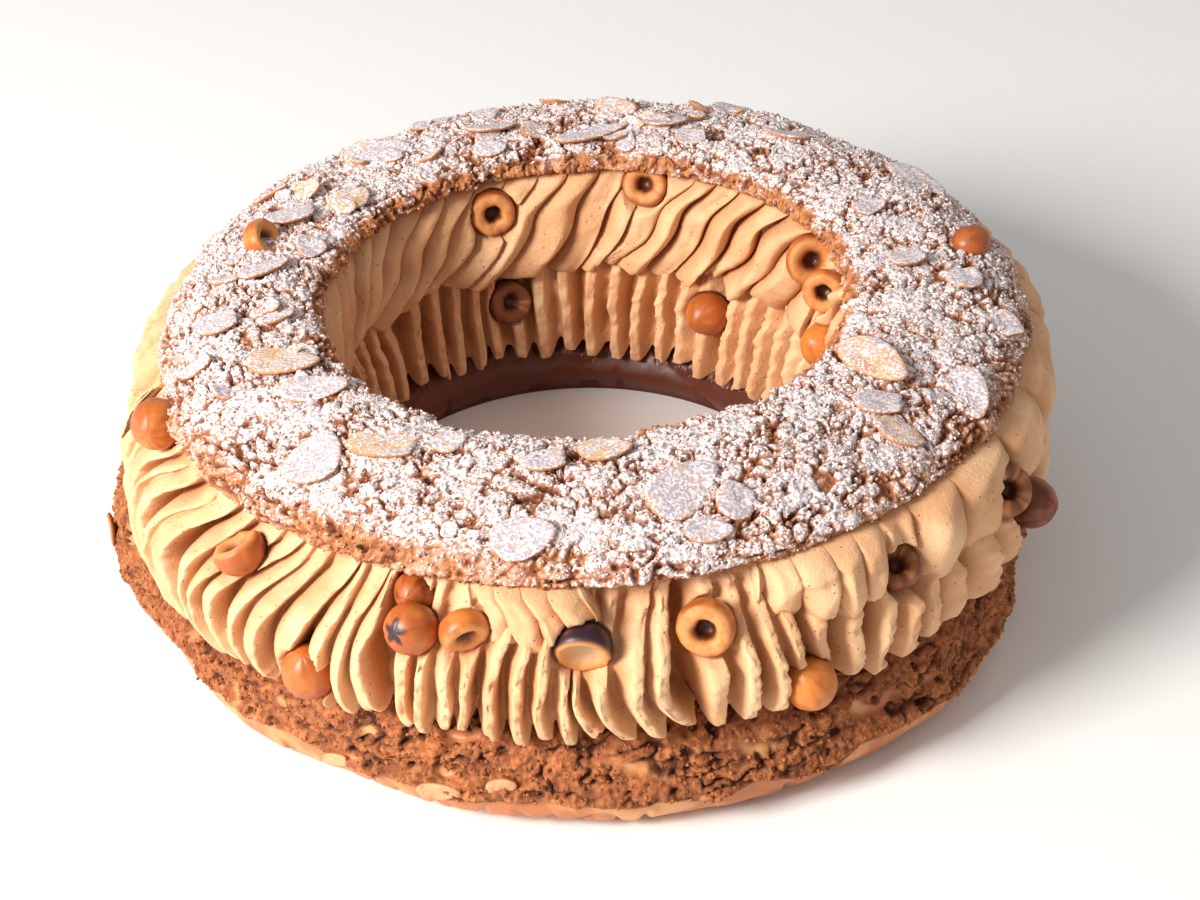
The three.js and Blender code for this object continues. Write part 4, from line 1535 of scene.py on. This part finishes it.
@dataclass
class AlmondFlakes:
    """Flaked almonds strewn on the lid or baked onto the base.

    upright ones lean on the base's side. around and rings are how finely each is made, and stand is how
    far its middle lies over the crust.
    """

    setting: Setting
    flakes: tuple[Flake, ...]
    name: str
    slot: str
    node: str
    upright: bool = False
    thickness: float = 1.3
    around: int = 32
    rings: int = 14
    stand: float = 0.75

    def pose(self, flake: Flake) -> Matrix:
        """The matrix that lays a flake, made about the origin, on the crust."""
        turn = math.radians(flake.degrees)
        heading = math.radians(flake.heading)
        if self.upright:
            place = self.setting.placed(flake.degrees, flake.radius, flake.height)
            spin = Matrix.Rotation(turn + math.pi / 2, 4, "Z") @ Matrix.Rotation(math.pi / 2, 4, "X")
            return Matrix.Translation(place.tolist()) @ spin @ Matrix.Rotation(heading, 4, "Z")
        radii, heights = zip(*reversed(LID_TOP))
        height = float(np.interp(flake.radius, radii, heights))
        slope = float(np.interp(flake.radius + 0.5, radii, heights)) - height
        place = self.setting.placed(flake.degrees, flake.radius, height)
        lean = Matrix.Rotation(-math.atan(slope * 2), 4, "Y")
        turned = Matrix.Rotation(turn, 4, "Z") @ lean @ Matrix.Rotation(heading - turn, 4, "Z")
        lifted = Matrix.Rotation(math.radians(flake.tilt), 4, "X") @ Matrix.Translation((0, 0, self.stand))
        return Matrix.Translation(place.tolist()) @ turned @ lifted

    def shaped(self, flake: Flake, unit: Array, number: int) -> tuple[Array, Array, Array]:
        """Shapes a ball into a flake.

        Args:
            flake: the flake.
            unit: points of a ball of radius 1.
            number: the flake's number, which makes it unlike the others.

        Returns:
            The flake's points, and its marks sugar and rim.
        """
        out = np.hypot(unit[:, 0], unit[:, 1])
        angle = np.arctan2(unit[:, 1], unit[:, 0])
        seed = SEED + 50 + number
        ring = np.stack([np.cos(angle) * 1.6, np.sin(angle) * 1.6, np.full_like(angle, number)], -1)
        outline = 1 + 0.07 * smooth_noise(ring, seed) + 0.03 * smooth_noise(ring * 3, seed)
        x = out * np.cos(angle) * outline * (1 + 0.08 * np.cos(angle))
        y = out * np.sin(angle) * outline * (1 - 0.2 * np.cos(angle))
        broken = 0.55 + 0.3 * (number * 0.37 % 1)
        if number % 3 == 1:
            x = np.minimum(x, broken + 0.1 * y + 0.06 * noise_over(seed, y * 6, y, y))
        thick = np.sign(unit[:, 2]) * (1 - np.clip(out, 0, 1) ** 5) ** 0.4 * self.thickness / 2
        bow = (0.5 + 0.5 * (number * 0.61 % 1)) * (x**2 + 0.4 * y**2)
        wave = 0.35 * noise_over(seed, x * 1.7, y * 1.7, number)
        points = np.stack([x * flake.length / 2, y * flake.width / 2, thick + bow * 0.7 + wave], -1)
        patch = noise_over(seed, x * 1.5 + 9, y * 1.5, number)
        top = ramp(unit[:, 2], 0.02, 0.3)
        bare = 0.3 * (number % 4 == 2) + 0.25 * ramp(out, 0.88, 1)
        dusted = 0 if self.upright else 0.82 + 0.5 * patch - bare
        sugar = np.clip(top * dusted, 0, 1)
        rim = np.clip(ramp(out, 0.9, 1) * 0.9 + 0.5 * (unit[:, 2] < 0) + 0.45 * self.upright, 0, 1)
        return points, sugar, rim

    def build(self, workshop: Workshop, material: bpy.types.Material) -> None:
        """Makes all the flakes as one piece of closed bodies."""
        skin = bmesh.new()
        sugar_layer = skin.verts.layers.float.new("sugar")
        rim_layer = skin.verts.layers.float.new("rim")
        for number, flake in enumerate(self.flakes):
            made = bmesh.ops.create_uvsphere(skin, u_segments=self.around, v_segments=self.rings, radius=1)
            unit = np.array([vert.co[:] for vert in made["verts"]])
            shaped = [values.tolist() for values in self.shaped(flake, unit, number)]
            pose = self.pose(flake)
            for vert, point, white, brown in zip(made["verts"], *shaped):
                vert.co = (pose @ Vector(point)) * MM
                vert[sugar_layer] = white
                vert[rim_layer] = brown
        workshop.piece(self.name, skin, material, self.slot, self.node)


# ---- Hazelnuts ----------------------------------------------------------------------------


class NutKind(Enum):
    """How a hazelnut was cut."""

    WHOLE = "whole"
    CUP = "cup"
    RING = "ring"
    SPLIT = "split"


# Half sections from the closed end: distance from the axis, height, kernel, and hollow, which paints shade
# into the nut's hole.
NUT_PROFILES = {
    NutKind.WHOLE: (
        (0, -6.2, 0, 0), (2.2, -5.8, 0, 0), (4.4, -4.3, 0, 0), (5.9, -1.8, 0, 0), (6.15, 0.8, 0, 0),
        (5.2, 3.6, 0, 0), (3.3, 5.6, 0, 0), (1.3, 6.7, 0, 0), (0, 7, 0, 0),
    ),
    NutKind.CUP: (
        (0, -5.6, 0, 0), (2.2, -5.3, 0, 0), (4.4, -4.1, 0, 0), (6, -1.8, 0, 0), (6.25, 0.4, 0, 0),
        (5.95, 1.6, 0.1, 0), (5.4, 2.2, 0.9, 0), (4.4, 2.3, 1, 0), (3.3, 1.9, 1, 0), (2.6, 1.2, 0.7, 0.2),
        (2.1, 0.2, 0.3, 0.7), (1.3, -1, 0, 1), (0, -1.5, 0, 1),
    ),
    NutKind.RING: (
        (0, -5.6, 0, 0), (2.2, -5.3, 0, 0), (4.4, -4.1, 0, 0), (6, -1.8, 0, 0), (6.25, 0.9, 0, 0),
        (5.95, 2, 0.1, 0), (5.3, 2.7, 0.9, 0), (4.1, 2.9, 1, 0), (3, 2.6, 1, 0), (2.5, 2, 0.8, 0.3),
        (2.2, 0.8, 0.2, 0.9), (1.7, -0.8, 0, 1), (0, -1.4, 0, 1),
    ),
    NutKind.SPLIT: (
        (0, -5.6, 0, 0), (2.2, -5.3, 0, 0), (4.4, -4.1, 0, 0), (6, -1.8, 0, 0), (6.3, 0.4, 0, 0),
        (6.1, 1.4, 0.1, 0), (5.6, 2.1, 1, 0), (5, 2.1, 1, 0), (4.3, 1.5, 1, 0.05), (3.4, 0.7, 1, 0.2),
        (2.2, 0.1, 1, 0.25), (1, -0.2, 0.9, 0.35), (0, -0.3, 0.8, 0.45),
    ),
}


# The radius of the dent that a nut of scale 1 makes in the cream.
DENT_RADIUS = 6.9


@dataclass(frozen=True)
class Hazelnut:
    """A roasted hazelnut set in the cake.

    turn and rise give the way that its pointed end or open side looks, off the ring's outward direction,
    tone is its colour from 0, pale, to 1, dark, burnt is how much of it is nearly black, and scar the
    radius of a dark star-shaped scar at its closed end.
    """

    name: str
    kind: NutKind
    degrees: float
    radius: float
    height: float
    scale: float
    turn: float
    rise: float
    tone: float = 0.4
    burnt: float = 0.0
    scar: float = 0.0
    steps: int = 36
    rows: int = 26

    def middle(self, setting: Setting) -> Array:
        """The nut's middle."""
        return setting.placed(self.degrees, self.radius, self.height)

    def way(self) -> Array:
        """The outward direction at the nut, away from the ring's middle line."""
        return ring_points(self.degrees, 1 if self.radius > 90 else -1, 0)

    def dent(self, setting: Setting) -> Dent:
        """The dent that it makes in the cream."""
        return Dent(tuple(self.middle(setting)), tuple(self.way()), DENT_RADIUS * self.scale)

    def spun(self) -> tuple[bmesh.types.BMesh, dict[str, object]]:
        """Spins the nut's half section about its axis.

        Returns:
            The closed mesh, and its layers for the marks.
        """
        knots = np.array(NUT_PROFILES[self.kind], float)
        stops = np.concatenate(([0.0], np.cumsum(np.hypot(*np.diff(knots[:, :2], axis=0).T))))
        profile = through(stops, knots, np.linspace(0, stops[-1], self.rows))
        skin = bmesh.new()
        marks = ("kernel", "hollow", "bare", "tone", "burnt")
        layers = {key: skin.verts.layers.float.new(key) for key in marks}
        line = [skin.verts.new((max(out, 0), 0, up)) for out, up in profile[:, :2].tolist()]
        line[0].co.x = line[-1].co.x = 0
        for vert, (kernel, hollow) in zip(line, np.clip(profile[:, 2:], 0, 1).tolist()):
            vert[layers["kernel"]] = kernel
            shallow = self.kind is NutKind.SPLIT
            vert[layers["bare"]] = min(2.2 * hollow, 1) if shallow else 0
            # The hollow mark paints shade, less of it in the split nut's shallow hollow.
            vert[layers["hollow"]] = 0.3 * hollow if shallow else hollow
        edges = [skin.edges.new(pair) for pair in zip(line, line[1:])]
        bmesh.ops.spin(
            skin, geom=line + edges, cent=(0, 0, 0), axis=(0, 0, 1), angle=math.tau, steps=self.steps,
            use_merge=True,
        )
        bmesh.ops.remove_doubles(skin, verts=skin.verts, dist=1e-3)
        bmesh.ops.recalc_face_normals(skin, faces=skin.faces)
        return skin, layers

    def pose(self, setting: Setting) -> Matrix:
        """The matrix that sets a nut, made about the origin, in the cake."""
        turned = Matrix.Rotation(math.radians(self.degrees + self.turn), 4, "Z")
        tipped = Matrix.Rotation(math.radians(90 - self.rise), 4, "Y")
        place = Matrix.Translation(self.middle(setting).tolist())
        return place @ turned @ tipped @ Matrix.Scale(self.scale, 4)

    def build(
        self, workshop: Workshop, setting: Setting, material: bpy.types.Material, number: int
    ) -> None:
        """Makes the nut uneven, colours it and sets it in place.

        Args:
            workshop: what makes the piece.
            setting: how the ring's layers lie.
            material: the nut's material.
            number: the nut's number, which makes it unlike the others.
        """
        skin, layers = self.spun()
        pose = self.pose(setting)
        flat = np.array([vert.co[:] for vert in skin.verts])
        angle = np.arctan2(flat[:, 1], flat[:, 0])
        around, across = np.cos(angle), np.sin(angle)
        seams = np.stack([around * 2.2, across * 2.2, flat[:, 2] / 30 + number], -1)
        cut = np.array([vert[layers["kernel"]] + vert[layers["hollow"]] for vert in skin.verts])
        ragged = noise_over(SEED + 84, around * 1.4, across * 1.4, number)
        notched = 0.18 * ragged + 0.1 * smooth_noise(flat / 1.5 + number, SEED + 85)
        grown = 1 + 0.05 * rough_noise(flat / 6 + number * 3.7, 2, SEED + 80)
        grown = grown + 0.022 * smooth_noise(seams * 1.6, SEED + 81) + np.clip(cut, 0, 1) * notched
        tone = np.clip(self.tone + 0.35 * smooth_noise(seams * 1.3, SEED + 82), 0, 1)
        least = 0.65 - 0.9 * self.burnt
        burnt = ramp(rough_noise(flat / 7 + number, 2, SEED + 83), least, least + 0.15)
        star = self.scar * (1 + 0.3 * np.cos(5 * angle + number) + 0.2 * ragged)
        marked = (1 - ramp(np.hypot(flat[:, 0], flat[:, 1]), star - 0.5, star + 0.1)) * (flat[:, 2] < 0)
        burnt = np.maximum(burnt * (self.burnt > 0), marked * (self.scar > 0))
        for vert, share, dark, black in zip(skin.verts, grown.tolist(), tone.tolist(), burnt.tolist()):
            vert.co = (pose @ (vert.co * share)) * MM
            vert[layers["tone"]] = dark
            vert[layers["burnt"]] = black
        workshop.piece(f"nut_{self.name}", skin, material, "hazelnut", f"hazelnut_{self.name}")


WHOLE, CUP, RING, SPLIT = NutKind.WHOLE, NutKind.CUP, NutKind.RING, NutKind.SPLIT
HAZELNUTS = (
    Hazelnut("outer_left", WHOLE, 199.4, 114.6, 60, 1.04, 60, 10, 0.4),
    Hazelnut("outer_cup_left", CUP, 225.4, 114.8, 53.8, 1, -72, 60, 0.5),
    Hazelnut("outer_low_left", WHOLE, 238.4, 119.4, 33.2, 1.04, 10, 70, 0.35),
    Hazelnut("outer_behind", WHOLE, 248.8, 107.5, 54.5, 0.8, 0, 20, 0.65),
    Hazelnut("outer_shiny", WHOLE, 250.4, 117.8, 52.4, 0.98, 160, -24, 0.45, scar=2.6),
    Hazelnut("outer_cup_front", CUP, 256.4, 117.4, 53.4, 0.92, 36, -22, 0.25),
    Hazelnut("outer_split_front", SPLIT, 269.4, 116.8, 49.8, 1.04, -4, -22, 0.4, 1.3),
    Hazelnut("outer_ring_front", RING, 283, 115.8, 51.4, 1.06, -24, 16, 0.3),
    Hazelnut("outer_low_right", WHOLE, 294.8, 122.2, 32.8, 1, -60, 60, 0.1),
    Hazelnut("outer_dark_right", CUP, 307.6, 115.4, 50, 0.92, -50, 60, 0.8),
    Hazelnut("outer_ring_right", RING, 326.6, 118.4, 51, 1.04, -30, 34, 0.75),
    Hazelnut("outer_right", WHOLE, 335.2, 120.4, 37, 1.02, -10, 10, 0.8),
    Hazelnut("outer_back_left", WHOLE, 132, 117.6, 44, 0.98, 0, 30, 0.4),
    Hazelnut("outer_back", CUP, 92, 117, 50, 0.98, 0, 10, 0.5),
    Hazelnut("outer_back_right", WHOLE, 48, 118.4, 38, 1, 0, 0, 0.3),
    Hazelnut("inner_ring_left", RING, 111.6, 66.6, 58.6, 1.02, 170, 10, 0.5),
    Hazelnut("inner_cup_back", CUP, 75, 67.4, 63.6, 0.98, 186, 30, 0.55),
    Hazelnut("inner_cup_right", CUP, 24.6, 66, 60, 1.1, 250, 20, 0.4),
    Hazelnut("inner_ring_right", RING, 12, 63.6, 59.4, 0.92, 240, 10, 0.2),
    Hazelnut("inner_whole_back", WHOLE, 55.2, 64.2, 29.4, 0.98, 180, 10, 0.45),
    Hazelnut("inner_right", WHOLE, 7.6, 63.6, 46, 0.98, 210, 40, 0.15),
    Hazelnut("inner_dark_left", CUP, 106.6, 64.6, 29.4, 0.98, 190, 20, 0.9),
    Hazelnut("lid_left", CUP, 162.8, 86.6, 74.2, 0.88, 176, 34, 0.3),
    Hazelnut("lid_right", WHOLE, 8, 100, 71, 0.8, 0, 30, 0.6),
)


# ---- Studio -------------------------------------------------------------------------------


@dataclass
class Studio:
    """The camera, the table and the light.

    eye and aim are in millimetres, roll in degrees, table is half the table's side in metres and
    daylight the strength of the light from all sides.
    """

    eye: tuple[float, float, float] = (5.57, -573.4, 422.8)
    aim: tuple[float, float, float] = (5.57, 0, 21.32)
    roll: float = -1.7
    lens: float = 80.06
    sensor: float = 36.0
    table: float = 6.0
    daylight: float = 0.48

    def camera(self) -> None:
        """Sets up the camera."""
        data = bpy.data.cameras.new("camera")
        data.lens = self.lens
        data.sensor_width = self.sensor
        camera = bpy.data.objects.new("camera", data)
        bpy.context.scene.collection.objects.link(camera)
        ahead = (Vector(self.aim) - Vector(self.eye)).normalized()
        right = ahead.cross(Vector((0, 0, 1))).normalized()
        level = Matrix((right, right.cross(ahead), -ahead)).transposed().to_4x4()
        turned = level @ Matrix.Rotation(math.radians(self.roll), 4, "Z")
        camera.matrix_world = Matrix.Translation(Vector(self.eye) * MM) @ turned
        bpy.context.scene.camera = camera

    def light(
        self, name: str, place: tuple[float, float, float], size: float, power: float, tint: str
    ) -> None:
        """Adds a square soft light that looks at the cake.

        Args:
            name: its name.
            place: where it stands, in millimetres.
            size: its side, in millimetres.
            power: its power in watts.
            tint: its colour.
        """
        data = bpy.data.lights.new(name, "AREA")
        data.size = size * MM
        data.energy = power
        data.color = linear(tint)[:3]
        lamp = bpy.data.objects.new(name, data)
        bpy.context.scene.collection.objects.link(lamp)
        toward = (Vector((0, 0, 30)) - Vector(place)).to_track_quat("-Z", "Y").to_matrix().to_4x4()
        lamp.matrix_world = Matrix.Translation(Vector(place) * MM) @ toward

    def build(self) -> None:
        """Makes the table, the camera and the light."""
        table = bmesh.new()
        bmesh.ops.create_grid(table, x_segments=1, y_segments=1, size=self.table)
        mesh = bpy.data.meshes.new("table")
        table.to_mesh(mesh)
        table.free()
        mesh.materials.append(PaintedTable().material())
        floor = bpy.data.objects.new("table", mesh)
        bpy.context.scene.collection.objects.link(floor)
        self.camera()
        world = bpy.data.worlds.new("soft_daylight")
        world.use_nodes = True
        backdrop = world.node_tree.nodes["Background"]
        backdrop.inputs["Color"].default_value = linear("#f8f5f0")
        backdrop.inputs["Strength"].default_value = self.daylight
        bpy.context.scene.world = world
        self.light("window", (-813, -570, 640), 420, 22.5, "#fffaf2")
        bpy.context.scene.view_settings.view_transform = "Standard"
        LOG.info("studio: camera, table and light")


# ---- Assembly -----------------------------------------------------------------------------


def bake_base(workshop: Workshop, setting: Setting) -> None:
    """Makes the base with the crumbs on its torn side."""
    base, choux = BaseCrust(setting), BakedChoux().material()
    base.build(workshop, choux)
    crumbs = LooseCrumbs("base_crumbs", "choux_base", "base_crust", 9400, "crumb", (0.6, 1.6), sunk=0.15)
    crumbs.build(workshop, base, choux)


def pipe_cream(workshop: Workshop, setting: Setting) -> None:
    """Makes the cream: the ribbed walls, and over them the tiers of folds."""
    dents = [nut.dent(setting) for nut in HAZELNUTS if "lid" not in nut.name]
    cream = WhippedPralineCream().material()
    outer, inner = [*OUTER_STROKES, *OUTER_REST.strokes_made()], INNER_STROKES.strokes_made()
    back = even_folds(354, 546, 30, slant=3, reach=1.2, drop=1.2, seed=SEED + 5)
    ropes = even_folds(0, 360, 50, slant=16, reach=1.9, drop=3, seed=SEED + 6)
    lying = {"setting": setting, "dents": dents}
    for shape in (
        PipedWall("cream_outer", 1, outer, OUTER_WALL, arcs=2, usual_pitch=4.1, **lying),
        PipedWall("cream_inner", -1, inner, INNER_WALL, **lying),
        PipedFolds("cream_front_folds", 1, FRONT_FOLDS, OUTER_FOLD_SECTION, closed=False, **lying),
        PipedFolds("cream_outer_folds", 1, RIGHT_FOLDS + back, OUTER_FOLD_SECTION, closed=False, **lying),
        PipedFolds("cream_inner_folds", -1, ropes, INNER_FOLD_SECTION, tuck=0.28, **lying),
    ):
        shape.build(workshop, cream)


def bake_lid(workshop: Workshop, setting: Setting) -> None:
    """Makes the lid with the crumbs on it."""
    lid, craquelin = LidCrust(setting), SugaredCraquelin().material()
    lid.build(workshop, craquelin)
    crumbs = LooseCrumbs("lid_crumbs", "choux_lid", "lid_crust", 9900, widths=(0.6, 1.5), lowest=-0.8)
    crumbs.build(workshop, lid, craquelin)


def strew_almonds(workshop: Workshop, setting: Setting) -> None:
    """Makes the almond flakes on the lid and on the base's side."""
    almond = SugaredAlmond().material()
    strewn = LID_FLAKES + broken_flakes()
    AlmondFlakes(setting, strewn, "lid_almonds", "choux_lid", "lid_crust").build(workshop, almond)
    baked = AlmondFlakes(setting, BASE_FLAKES, "base_almonds", "choux_base", "base_crust", upright=True)
    baked.build(workshop, almond)


def set_hazelnuts(workshop: Workshop, setting: Setting) -> None:
    """Makes the hazelnuts in the cream and on the lid."""
    roasted = RoastedHazelnut().material()
    for number, nut in enumerate(HAZELNUTS):
        nut.build(workshop, setting, roasted, number)


def main() -> None:
    """Builds the cake piece by piece."""
    logging.basicConfig(level=logging.INFO, format="%(message)s")
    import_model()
    workshop, setting = Workshop(), Setting()
    Studio().build()
    for step in (bake_base, pipe_cream, bake_lid, strew_almonds, set_hazelnuts):
        step(workshop, setting)
    LOG.info("%d pieces", len(workshop.made))


if __name__ == "__main__":
    main()
